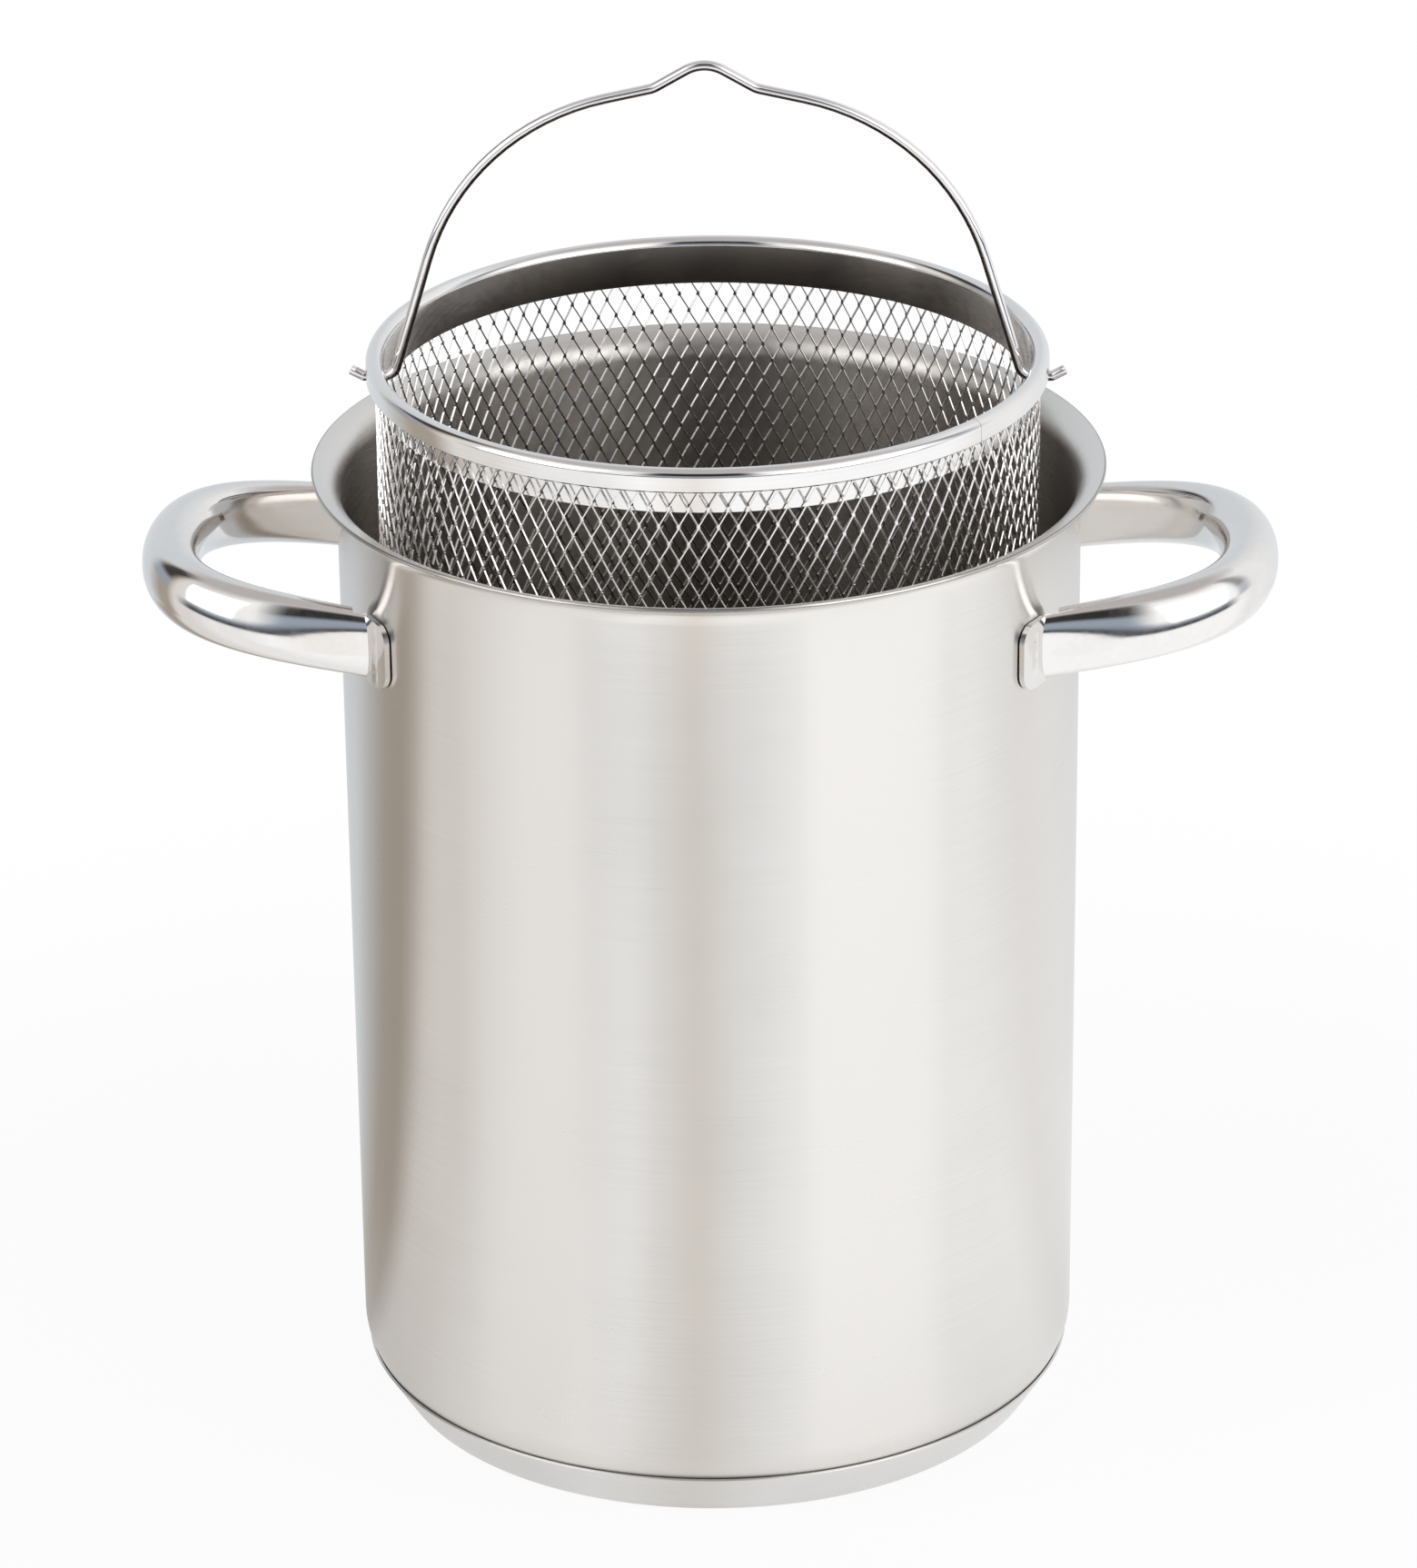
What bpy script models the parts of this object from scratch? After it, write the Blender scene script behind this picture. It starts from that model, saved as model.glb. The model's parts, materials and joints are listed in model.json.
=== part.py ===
"""Asparagus pot: a tall stainless pot with two loop handles and a lift-out expanded-metal basket.

The pot stands on z = 0 with its axis on Z, and its handles reach along X. The basket stands on the
pot's floor, and its bail hinges in two holes of the basket's rim, on a line along X.
"""

import math

import bmesh
import bpy
from mathutils import Matrix, Vector

mm = 0.001

# Fits and facets
seat_gap = 0.3 * mm
overrun = 5.0 * mm
weld = 0.01 * mm
around_steps = 40
arc_step = math.radians(23)

# Pot shell, one deep-drawn sheet
pot_height = 217.5 * mm
pot_sheet = 0.8 * mm
wall_top_radius = 80.0 * mm
wall_foot_radius = 79.0 * mm
rim_radius = 85.4 * mm
rim_bend_radius = 5.0 * mm
rim_lip_angle = math.radians(18)
foot_corner_radius = 12.0 * mm

# Encapsulated base, an aluminium disc in a stainless cap
base_height = 5.5 * mm
cap_sheet = 0.6 * mm
cap_edge_height = 11.6 * mm
cap_side_lean = math.radians(33)
cap_bottom_round = 4.0 * mm

# Loop handles, steel tube squeezed flat where it meets the pot
handle_reach = 116.2 * mm
handle_root_reach = 70.0 * mm
handle_half_span = 36.4 * mm
handle_leg_lean = math.radians(7.6)
handle_leg_pull = 24.4 * mm
handle_bow_pull = 32.1 * mm
handle_drop = 28.2 * mm
handle_rise = math.radians(8)
bow_tube_width = 12.8 * mm
root_tube_width = 5.6 * mm
tube_height = 14.6 * mm
tube_wall = 1.2 * mm
bow_squareness = 2.1
root_squareness = 4.0
swell_power = 1.3
tube_stations = 19
tube_sides = 16
bore_sides = 8

# Weld flanges at the ends of a handle
flange_sheet = 1.2 * mm
flange_inner_angle = math.radians(27.8)
flange_outer_angle = math.radians(34.0)
flange_bottom_drop = 35.7 * mm
flange_top_drop = 20.9 * mm
flange_corner_radius = 4.0 * mm
mouth_plane = 74.8 * mm
mouth_cut_margin = 0.6 * mm

# Basket rim, a strip hemmed over the top edge of the mesh
basket_sheet = 0.5 * mm
basket_height = 236.4 * mm
band_radius = 69.4 * mm
band_depth = 10.4 * mm
hem_radius = 73.0 * mm
hem_depth = 4.9 * mm
hem_curl = 0.4 * mm

# Basket mesh, a coarse lattice that stands for expanded metal with finer openings
mesh_thickness = 0.7 * mm
strand_width = 1.5 * mm
mesh_columns = 20
mesh_rows = 5
mesh_hem_clearance = 1.6 * mm
floor_edge_width = 3.4 * mm
floor_edge_thickness = 1.0 * mm

# Basket foot, an angle-section hoop
foot_height = 10.4 * mm
foot_bend_radius = 5.0 * mm
foot_ledge_width = 8.0 * mm

# Bail, one bent wire
wire_diameter = 2.2 * mm
bail_hole_clearance = 0.3 * mm
bail_axis_below_rim = 6.4 * mm
bail_foot_reach = 67.2 * mm
bail_foot_bend = 3.0 * mm
bail_leg_lean = math.radians(16.5)
bail_shoulder_height = 55.7 * mm
bail_shoulder_radius = 51.5 * mm
bail_knee_reach = 10.9 * mm
bail_knee_height = 64.5 * mm
bail_knee_radius = 6.0 * mm
bail_peak_height = 70.8 * mm
bail_peak_radius = 8.0 * mm
bail_tip_bend_gap = 0.6 * mm
bail_tip_length = 3.1 * mm
bail_tip_rise = math.radians(28)
bail_tip_bend_radius = 1.6 * mm
wire_arc_step = math.radians(18)

# Sizes that follow from the ones above
shell_floor = base_height + pot_sheet
corner_centre = Vector((wall_foot_radius - foot_corner_radius, base_height + foot_corner_radius))
flare_turn = math.pi / 2 - rim_lip_angle
flare_rise = rim_bend_radius * math.sin(flare_turn)
lip_width = rim_radius - wall_top_radius - rim_bend_radius * (1 - math.cos(flare_turn))
lip_rise = lip_width * math.tan(rim_lip_angle)
flare_foot = pot_height - pot_sheet * math.cos(rim_lip_angle) - lip_rise - flare_rise
handle_height = pot_height - handle_drop
flange_bottom = pot_height - flange_bottom_drop
flange_top = pot_height - flange_top_drop
basket_foot = shell_floor + seat_gap
basket_top = basket_foot + basket_height
bail_axis = basket_top - bail_axis_below_rim
mesh_radius = band_radius + basket_sheet + 2 * seat_gap + mesh_thickness / 2
foot_radius = mesh_radius + mesh_thickness / 2 + seat_gap + basket_sheet
ledge_top = basket_foot + basket_sheet
mesh_foot = basket_foot + foot_bend_radius - seat_gap
mesh_top = basket_top - mesh_hem_clearance
floor_edge_radius = foot_radius - foot_bend_radius


def clear_scene():
    """Remove every object of the scene."""
    for obj in list(bpy.data.objects):
        bpy.data.objects.remove(obj, do_unlink=True)


def new_collection(name, hidden=False):
    """Add a collection under the scene's own; a hidden one holds cutters."""
    collection = bpy.data.collections.new(name)
    collection.hide_render = hidden
    bpy.context.scene.collection.children.link(collection)
    return collection


def metal(name, colour, roughness):
    """A metal finish as a Principled BSDF."""
    material = bpy.data.materials.new(name)
    material.use_nodes = True
    shader = material.node_tree.nodes["Principled BSDF"]
    shader.inputs["Base Color"].default_value = (*colour, 1.0)
    shader.inputs["Metallic"].default_value = 1.0
    shader.inputs["Roughness"].default_value = roughness
    material.diffuse_color = (*colour, 1.0)
    return material


def add_object(name, data, collection, material=None, parent=None, place=(0, 0, 0)):
    """Link an object at a world place, with its parent's own place taken off."""
    obj = bpy.data.objects.new(name, data)
    collection.objects.link(obj)
    if material:
        data.materials.append(material)
    if parent:
        obj.parent = parent
        obj.location = Vector(place) - parent.location
    else:
        obj.location = place
    return obj


def smooth(mesh, limit=math.radians(35)):
    """Shade round faces smooth and keep real edges sharp."""
    mesh.shade_smooth()
    mesh.set_sharp_from_angle(angle=limit)


def arc(centre, radius, start, end, step=arc_step):
    """Points of an arc in a plane, both ends included."""
    count = max(1, math.ceil(round(abs(end - start) / step, 3)))
    angles = [start + (end - start) * index / count for index in range(count + 1)]
    return [Vector((centre[0] + radius * math.cos(a), centre[1] + radius * math.sin(a))) for a in angles]


def rounded_path(corners, step=arc_step):
    """A path in a plane through (x, y, radius) corners, with each corner rounded by its radius."""
    path = []
    for index, (x, y, radius) in enumerate(corners):
        here = Vector((x, y))
        if radius == 0 or index in (0, len(corners) - 1):
            path.append(here)
            continue
        back = (Vector(corners[index - 1][:2]) - here).normalized()
        ahead = (Vector(corners[index + 1][:2]) - here).normalized()
        half = back.angle(ahead) / 2
        centre = here + (back + ahead).normalized() * radius / math.sin(half)
        first = here + back * radius / math.tan(half) - centre
        last = here + ahead * radius / math.tan(half) - centre
        turn = first.angle_signed(last)
        start = math.atan2(first.y, first.x)
        path.extend(arc(centre, radius, start, start - turn, step))
    return path


def profile_mesh(name, points):
    """A mesh of edges in the XZ plane, for the Screw modifier."""
    mesh = bpy.data.meshes.new(name)
    verts = [(point[0], 0.0, point[1]) for point in points]
    mesh.from_pydata(verts, [(i, i + 1) for i in range(len(verts) - 1)], [])
    return mesh


def turn(obj):
    """Revolve a profile once round Z."""
    screw = obj.modifiers.new("Turn", "SCREW")
    screw.axis = "Z"
    screw.steps = around_steps
    screw.render_steps = around_steps
    screw.use_merge_vertices = True
    screw.merge_threshold = weld
    screw.use_smooth_shade = True


def give_sheet(obj, thickness, side):
    """Turn a surface into sheet metal; side is -1 for inwards, 0 for both ways and 1 for outwards."""
    solidify = obj.modifiers.new("Sheet", "SOLIDIFY")
    solidify.thickness = thickness
    solidify.offset = side
    solidify.use_even_offset = True


def subtract(obj, cutter):
    """Cut one solid out of another."""
    cut = obj.modifiers.new("Cut", "BOOLEAN")
    cut.operation = "DIFFERENCE"
    cut.object = cutter


def join(obj, other):
    """Make two solids one."""
    union = obj.modifiers.new("Join", "BOOLEAN")
    union.operation = "UNION"
    union.object = other


def as_cutter(obj):
    """Mark a helper solid that isn't part of the pot."""
    obj.hide_render = True
    obj.display_type = "WIRE"
    return obj


def shell_outline():
    """The outside of the pot's sheet, from the lip down to the middle of the floor."""
    flare_centre = (wall_top_radius + rim_bend_radius, flare_foot)
    flare = arc(flare_centre, rim_bend_radius, math.pi - flare_turn, math.pi)
    corner = arc(corner_centre, foot_corner_radius, 0.0, -math.pi / 2)
    lip = Vector((rim_radius, flare_foot + flare_rise + lip_rise))
    return [lip, *flare, *corner, Vector((0.0, base_height))]


def make_pot_shell(collection):
    """The drawn pot: flared rim, slightly tapered wall, round foot corner and flat floor."""
    steel = metal("satin_stainless_body", (0.66, 0.64, 0.61), 0.28)
    mesh = profile_mesh("pot_shell", shell_outline())
    obj = add_object("pot_shell", mesh, collection, steel)
    turn(obj)
    give_sheet(obj, pot_sheet, -1)
    return obj


def cap_edge():
    """The outer edge of the base cap, beside the foot corner, as (radius, height)."""
    angle = math.asin((corner_centre.y - cap_edge_height) / foot_corner_radius)
    reach = foot_corner_radius + seat_gap + cap_sheet
    return Vector((corner_centre.x + reach * math.cos(angle), corner_centre.y - reach * math.sin(angle)))


def cap_side_radius(height, inset):
    """Radius of a line parallel to the cap's side, at a height."""
    edge = cap_edge()
    return edge.x - (edge.y - height) * math.tan(cap_side_lean) - inset / math.cos(cap_side_lean)


def make_base_cap(collection):
    """The stainless cap pressed over the base disc; its upper edge is the dark seam line."""
    steel = metal("satin_stainless_base", (0.62, 0.61, 0.59), 0.34)
    edge = cap_edge()
    corners = [(edge.x, edge.y, 0.0), (cap_side_radius(0.0, 0.0), 0.0, cap_bottom_round), (0.0, 0.0, 0.0)]
    obj = add_object("base_cap", profile_mesh("base_cap", rounded_path(corners)), collection, steel)
    turn(obj)
    give_sheet(obj, cap_sheet, -1)
    return obj


def make_base_core(collection):
    """The aluminium disc that spreads the heat, sealed between shell and cap."""
    aluminium = metal("aluminium_core", (0.75, 0.76, 0.77), 0.45)
    inset = cap_sheet + seat_gap
    top = base_height - seat_gap
    corners = [
        (0.0, top, 0.0),
        (cap_side_radius(top, inset), top, 0.0),
        (cap_side_radius(inset, inset), inset, cap_bottom_round - inset),
        (0.0, inset, 0.0),
    ]
    obj = add_object("base_core", profile_mesh("base_core", rounded_path(corners)), collection, aluminium)
    turn(obj)
    return obj


def wall_radius_at(height):
    """Outer radius of the tapered wall at a height."""
    share = (height - corner_centre.y) / (flare_foot - corner_centre.y)
    return wall_foot_radius + (wall_top_radius - wall_foot_radius) * share


def handle_point(share):
    """Centre of the handle tube, for a share from 0 at the front end to 1 at the rear end."""
    half = 2 * min(share, 1 - share)
    side = -1 if share < 1 / 2 else 1
    root = Vector((handle_root_reach, handle_half_span))
    bow = Vector((handle_reach, 0.0))
    lean = Vector((math.cos(handle_leg_lean), -math.sin(handle_leg_lean)))
    pulls = (root, root + lean * handle_leg_pull, bow + Vector((0.0, handle_bow_pull)), bow)
    rest = 1 - half
    weights = (rest**3, 3 * rest**2 * half, 3 * rest * half**2, half**3)
    plan = sum((pull * weight for pull, weight in zip(pulls, weights)), Vector((0.0, 0.0)))
    rise = (plan.x - handle_root_reach) * math.tan(handle_rise)
    return Vector((plan.x, side * plan.y, handle_height + rise))


def tube_section(share, inset, sides):
    """One squarish ring of points round the handle's centre line."""
    centre = handle_point(share)
    small = 1 / (8 * tube_stations)
    ahead = (handle_point(min(share + small, 1)) - handle_point(max(share - small, 0))).normalized()
    across = ahead.cross(Vector((0, 0, 1))).normalized()
    upward = across.cross(ahead)
    bow_share = math.sin(math.pi * share) ** swell_power
    width = root_tube_width + (bow_tube_width - root_tube_width) * bow_share
    power = 2 / (root_squareness + (bow_squareness - root_squareness) * bow_share)
    ring = []
    for index in range(sides):
        angle = 2 * math.pi * (index + 1 / 2) / sides
        wide = math.copysign(abs(math.cos(angle)) ** power, math.cos(angle)) * (width / 2 - inset)
        tall = math.copysign(abs(math.sin(angle)) ** power, math.sin(angle)) * (tube_height / 2 - inset)
        ring.append(centre + across * wide + upward * tall)
    return ring


def tube_wall_faces(bm, inset, sides):
    """A lofted skin through all stations of the tube, and its two end rings."""
    stations = [index / (tube_stations - 1) for index in range(tube_stations)]
    rings = [[bm.verts.new(point) for point in tube_section(share, inset, sides)] for share in stations]
    for first, second in zip(rings, rings[1:]):
        for index in range(sides):
            follow = (index + 1) % sides
            bm.faces.new((first[index], first[follow], second[follow], second[index]))
    return rings[0], rings[-1]


def lofted_tube(name, collection, inset, sides):
    """A closed loft along the handle, as a solid bar of the tube's outside or of its bore."""
    bm = bmesh.new()
    for ring in tube_wall_faces(bm, inset, sides):
        bm.faces.new(ring)
    bmesh.ops.recalc_face_normals(bm, faces=bm.faces)
    mesh = bpy.data.meshes.new(name)
    bm.to_mesh(mesh)
    bm.free()
    return add_object(name, mesh, collection)


def flange_outline(share):
    """Bottom and top of a weld flange, for a share from 0 at its inner edge to 1 at its outer edge."""
    width = (flange_outer_angle - flange_inner_angle) * wall_top_radius
    inside_corner = max(0.0, flange_corner_radius - (1 - share) * width)
    drop = flange_corner_radius - math.sqrt(flange_corner_radius**2 - inside_corner**2)
    return flange_bottom + drop, flange_top - drop


def make_flange(name, side, cutters):
    """A curved tab that lies on the pot's wall, with two rounded outer corners."""
    stations = 6
    bm = bmesh.new()
    radius = wall_radius_at(flange_bottom) + seat_gap
    rows = []
    for index in range(stations + 1):
        share = math.sin(math.pi / 2 * index / stations)
        angle = side * (flange_inner_angle + (flange_outer_angle - flange_inner_angle) * share)
        bottom, top = flange_outline(share)
        reach = Vector((radius * math.cos(angle), radius * math.sin(angle), 0.0))
        rows.append([bm.verts.new(reach + Vector((0.0, 0.0, height))) for height in (bottom, top)])
    for first, second in zip(rows, rows[1:]):
        bm.faces.new((first[0], second[0], second[1], first[1])[:: side])
    mesh = bpy.data.meshes.new(name)
    bm.to_mesh(mesh)
    bm.free()
    obj = as_cutter(add_object(name, mesh, cutters))
    give_sheet(obj, flange_sheet, 1)
    return obj


def make_round_cutter(name, radius, bottom, top, cutters):
    """An upright cylinder round the pot's axis."""
    bm = bmesh.new()
    bmesh.ops.create_cone(
        bm, cap_ends=True, segments=2 * around_steps, radius1=radius, radius2=radius, depth=top - bottom
    )
    mesh = bpy.data.meshes.new(name)
    bm.to_mesh(mesh)
    bm.free()
    return as_cutter(add_object(name, mesh, cutters, place=(0, 0, (top + bottom) / 2)))


def make_box_cutter(name, low, high, cutters):
    """A box between two corners."""
    low, high = Vector(low), Vector(high)
    bm = bmesh.new()
    bmesh.ops.create_cube(bm, size=1.0, matrix=Matrix.Diagonal((*(high - low), 1.0)))
    mesh = bpy.data.meshes.new(name)
    bm.to_mesh(mesh)
    bm.free()
    return as_cutter(add_object(name, mesh, cutters, place=(low + high) / 2))


def handle_mesh(cutters, steel):
    """A hollow loop handle: its outer walls run on into two weld flanges, and its mouths stay open."""
    obj = as_cutter(lofted_tube("handle", cutters, 0.0, tube_sides))
    obj.data.materials.append(steel)
    below, above = flange_bottom - tube_height, flange_top + tube_height
    seat_radius = wall_radius_at(flange_bottom) + seat_gap
    mouth_half = handle_half_span + mouth_cut_margin
    subtract(obj, as_cutter(lofted_tube("handle_bore", cutters, tube_wall, bore_sides)))
    subtract(obj, make_round_cutter("pot_room", seat_radius + flange_sheet / 2, below, above, cutters))
    subtract(obj, make_box_cutter("mouths", (0.0, -mouth_half, below), (mouth_plane, mouth_half, above), cutters))
    for side in (-1, 1):
        join(obj, make_flange(f"flange{side:+d}", side, cutters))
    graph = bpy.context.evaluated_depsgraph_get()
    mesh = bpy.data.meshes.new_from_object(obj.evaluated_get(graph))
    smooth(mesh)
    return mesh


def make_handles(collection, cutters):
    """The two handles, one shape at both sides of the pot."""
    steel = metal("polished_stainless_handle", (0.74, 0.73, 0.72), 0.14)
    mesh = handle_mesh(cutters, steel)
    for name, turned in (("handle_right", 0.0), ("handle_left", math.pi)):
        obj = bpy.data.objects.new(name, mesh)
        obj.rotation_euler.z = turned
        collection.objects.link(obj)


def make_basket_rim(collection, cutters, parent):
    """The hemmed strip: a band inside the mesh, rolled outwards over the mesh's top edge."""
    steel = metal("polished_stainless_rim", (0.72, 0.71, 0.70), 0.16)
    half = basket_sheet / 2
    inner, outer = band_radius + half, hem_radius - half
    top = basket_top - half
    skirt = basket_top - hem_depth
    roll = (outer - inner) / 2
    path = [Vector((outer - hem_curl, skirt)), Vector((outer, skirt + hem_curl))]
    path += arc(((inner + outer) / 2, top - roll), roll, 0.0, math.pi, math.pi / 4)
    path += [Vector((inner, basket_top - band_depth))]
    centred = [(point.x, point.y - basket_top) for point in path]
    mesh = profile_mesh("basket_rim", centred)
    obj = add_object("basket_rim", mesh, collection, steel, parent, (0, 0, basket_top))
    turn(obj)
    give_sheet(obj, basket_sheet, 0)
    bm = bmesh.new()
    hole = wire_diameter / 2 + bail_hole_clearance
    reach = 2 * (hem_radius + overrun)
    bmesh.ops.create_cone(bm, cap_ends=True, segments=16, radius1=hole, radius2=hole, depth=reach)
    bmesh.ops.rotate(bm, verts=bm.verts, matrix=Matrix.Rotation(math.pi / 2, 3, "Y"))
    drill = bpy.data.meshes.new("bail_holes")
    bm.to_mesh(drill)
    bm.free()
    subtract(obj, as_cutter(add_object("bail_holes", drill, cutters, place=(0, 0, bail_axis))))
    return obj


def give_rounded_edges(bm, radius):
    """Give each straight end edge of a wrapped grid a middle point, so that it keeps to the circle."""
    ends = [edge for edge in bm.edges if edge.is_boundary]
    bmesh.ops.bisect_edges(bm, edges=ends, cuts=1)
    for vert in bm.verts:
        flat = vert.co.xy.normalized() * radius
        vert.co.xy = flat


def open_lattice(bm, old_edges):
    """Turn poked quads into a diamond lattice: a hole in each diamond, and strands between them."""
    inner = [edge for edge in old_edges if edge.is_valid and not edge.is_boundary]
    bmesh.ops.dissolve_edges(bm, edges=inner, use_verts=False)
    diamonds = list(bm.faces)
    made = bmesh.ops.inset_individual(bm, faces=diamonds, thickness=strand_width / 2, use_even_offset=True)
    strands = set(made["faces"])
    holes = [face for face in bm.faces if face not in strands]
    bmesh.ops.delete(bm, geom=holes, context="FACES")


def make_basket_wall(collection, parent, steel):
    """The mesh cylinder: diamonds of expanded metal all round, with one centred on each bail hole."""
    height = mesh_top - mesh_foot
    bm = bmesh.new()
    bmesh.ops.create_grid(bm, x_segments=mesh_columns, y_segments=mesh_rows, size=1.0)
    for vert in bm.verts:
        angle = math.pi * (vert.co.x + 1 / mesh_columns)
        rise = (vert.co.y + 1) * height / 2
        vert.co = (mesh_radius * math.cos(angle), mesh_radius * math.sin(angle), rise)
    bmesh.ops.remove_doubles(bm, verts=bm.verts, dist=weld)
    lines = list(bm.edges)
    bmesh.ops.poke(bm, faces=bm.faces)
    give_rounded_edges(bm, mesh_radius)
    open_lattice(bm, lines)
    bmesh.ops.recalc_face_normals(bm, faces=bm.faces)
    mesh = bpy.data.meshes.new("basket_wall")
    bm.to_mesh(mesh)
    bm.free()
    obj = add_object("basket_wall", mesh, collection, steel, parent, (0, 0, mesh_foot))
    give_sheet(obj, mesh_thickness, 0)
    return obj


def make_floor_edge(cutters, bottom):
    """The floor's own edge, pressed flat into a hoop where the foot carries it."""
    hoop = rounded_path([
        (floor_edge_radius, floor_edge_thickness, 0.0),
        (floor_edge_radius, 0.0, 0.0),
        (floor_edge_radius - floor_edge_width, 0.0, 0.0),
        (floor_edge_radius - floor_edge_width, floor_edge_thickness, 0.0),
    ])
    mesh = profile_mesh("floor_edge", [*hoop, hoop[0]])
    obj = as_cutter(add_object("floor_edge", mesh, cutters, place=(0, 0, bottom)))
    turn(obj)
    return obj


def make_basket_floor(collection, cutters, parent, steel):
    """The mesh floor: flat expanded metal of the same pitch, trimmed round."""
    pitch = 2 * math.pi * mesh_radius / mesh_columns
    step = (mesh_top - mesh_foot) / mesh_rows
    columns = 2 * math.ceil(floor_edge_radius / pitch)
    rows = 2 * math.ceil(floor_edge_radius / step)
    bm = bmesh.new()
    bmesh.ops.create_grid(bm, x_segments=columns, y_segments=rows, size=1.0)
    bmesh.ops.scale(bm, vec=(columns * pitch / 2, rows * step / 2, 1.0), verts=bm.verts)
    lines = list(bm.edges)
    bmesh.ops.poke(bm, faces=bm.faces)
    open_lattice(bm, lines)
    mesh = bpy.data.meshes.new("basket_floor")
    bm.to_mesh(mesh)
    bm.free()
    bottom = ledge_top + seat_gap
    middle = bottom + floor_edge_thickness / 2
    obj = add_object("basket_floor", mesh, collection, steel, parent, (0, 0, middle))
    give_sheet(obj, mesh_thickness, 0)
    trim_radius = floor_edge_radius - floor_edge_width / 2
    trim = make_round_cutter("floor_trim", trim_radius, bottom - overrun, bottom + overrun, cutters)
    keep = obj.modifiers.new("Trim", "BOOLEAN")
    keep.operation = "INTERSECT"
    keep.object = trim
    join(obj, make_floor_edge(cutters, bottom))
    return obj


def make_basket_foot(collection, parent):
    """The hoop round the lower edge: an outer skirt that bends in to a ledge under the mesh."""
    steel = metal("satin_stainless_foot", (0.70, 0.69, 0.68), 0.22)
    corners = [
        (foot_radius, foot_height, 0.0),
        (foot_radius, 0.0, foot_bend_radius),
        (foot_radius - foot_ledge_width, 0.0, 0.0),
    ]
    mesh = profile_mesh("basket_foot", rounded_path(corners))
    obj = add_object("basket_foot", mesh, collection, steel, parent, (0, 0, basket_foot))
    turn(obj)
    give_sheet(obj, basket_sheet, -1)
    return obj


def bail_half():
    """Corners of the bent wire from its right tip to the peak, as (x, height over the axis, radius)."""
    exit_reach = hem_radius + bail_tip_bend_gap
    tip = (
        exit_reach + bail_tip_length * math.cos(bail_tip_rise),
        bail_tip_length * math.sin(bail_tip_rise),
        0.0,
    )
    shoulder_reach = bail_foot_reach - bail_shoulder_height * math.tan(bail_leg_lean)
    return [
        tip,
        (exit_reach, 0.0, bail_tip_bend_radius),
        (bail_foot_reach, 0.0, bail_foot_bend),
        (shoulder_reach, bail_shoulder_height, bail_shoulder_radius),
        (bail_knee_reach, bail_knee_height, bail_knee_radius),
    ]


def make_bail(collection, parent):
    """The carrying wire: a U with sloping shoulders and a small peak, hinged on the line of its feet."""
    steel = metal("bright_stainless_wire", (0.75, 0.74, 0.74), 0.14)
    half = bail_half()
    mirrored = [(-x, height, radius) for x, height, radius in reversed(half)]
    corners = half + [(0.0, bail_peak_height, bail_peak_radius)] + mirrored
    path = rounded_path(corners, wire_arc_step)
    curve = bpy.data.curves.new("bail", "CURVE")
    curve.dimensions = "3D"
    curve.bevel_depth = wire_diameter / 2
    curve.bevel_resolution = 2
    curve.use_fill_caps = True
    spline = curve.splines.new("POLY")
    spline.points.add(len(path) - 1)
    for point, place in zip(spline.points, path):
        point.co = (place.x, 0.0, place.y, 1.0)
    return add_object("bail", curve, collection, steel, parent, (0, 0, bail_axis))


def main():
    """Build the whole pot at rest."""
    clear_scene()
    parts = new_collection("asparagus_pot")
    cutters = new_collection("cutters", hidden=True)
    make_pot_shell(parts)
    make_base_core(parts)
    make_base_cap(parts)
    make_handles(parts, cutters)
    basket = add_object("basket_lift", None, parts, place=(0, 0, basket_foot))
    strands = metal("expanded_stainless_mesh", (0.68, 0.67, 0.66), 0.25)
    make_basket_rim(parts, cutters, basket)
    make_basket_wall(parts, basket, strands)
    make_basket_floor(parts, cutters, basket, strands)
    make_basket_foot(parts, basket)
    make_bail(parts, basket)


if __name__ == "__main__":
    main()
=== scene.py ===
"""Studio picture of a stainless asparagus pot with its lift-out mesh basket.

Each sub-assembly is a class whose fields are its sizes in millimetres. A class builds its meshes in
metres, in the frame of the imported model, and dresses them in a finish.
"""

import json
import logging
import math
from collections.abc import Iterable, Sequence
from dataclasses import dataclass
from enum import Enum

import bmesh
import bpy
from mathutils import Matrix, Vector

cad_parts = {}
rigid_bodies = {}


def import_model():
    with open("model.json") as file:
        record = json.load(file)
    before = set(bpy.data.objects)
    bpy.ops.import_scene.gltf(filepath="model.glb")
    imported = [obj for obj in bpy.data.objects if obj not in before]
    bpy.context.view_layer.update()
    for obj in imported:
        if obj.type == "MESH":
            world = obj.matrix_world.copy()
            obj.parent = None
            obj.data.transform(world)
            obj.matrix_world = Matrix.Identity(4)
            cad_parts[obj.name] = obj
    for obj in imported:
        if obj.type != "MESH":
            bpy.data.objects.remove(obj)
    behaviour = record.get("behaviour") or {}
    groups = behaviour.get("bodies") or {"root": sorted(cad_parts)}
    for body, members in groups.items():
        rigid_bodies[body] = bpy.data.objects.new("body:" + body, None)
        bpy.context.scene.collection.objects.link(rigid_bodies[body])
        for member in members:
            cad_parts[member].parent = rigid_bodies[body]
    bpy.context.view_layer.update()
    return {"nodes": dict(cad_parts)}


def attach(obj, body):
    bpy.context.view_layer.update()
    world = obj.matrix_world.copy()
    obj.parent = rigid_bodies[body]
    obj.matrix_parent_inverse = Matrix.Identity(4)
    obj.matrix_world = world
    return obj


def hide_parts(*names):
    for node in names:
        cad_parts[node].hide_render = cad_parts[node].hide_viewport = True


for startup_object in list(bpy.data.objects):
    bpy.data.objects.remove(startup_object, do_unlink=True)
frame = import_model()

MM = 0.001
# How far a sheet's cut edges are eased, as a share of its thickness.
EASED = 0.3
LOG = logging.getLogger("asparagus_pot")


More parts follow.
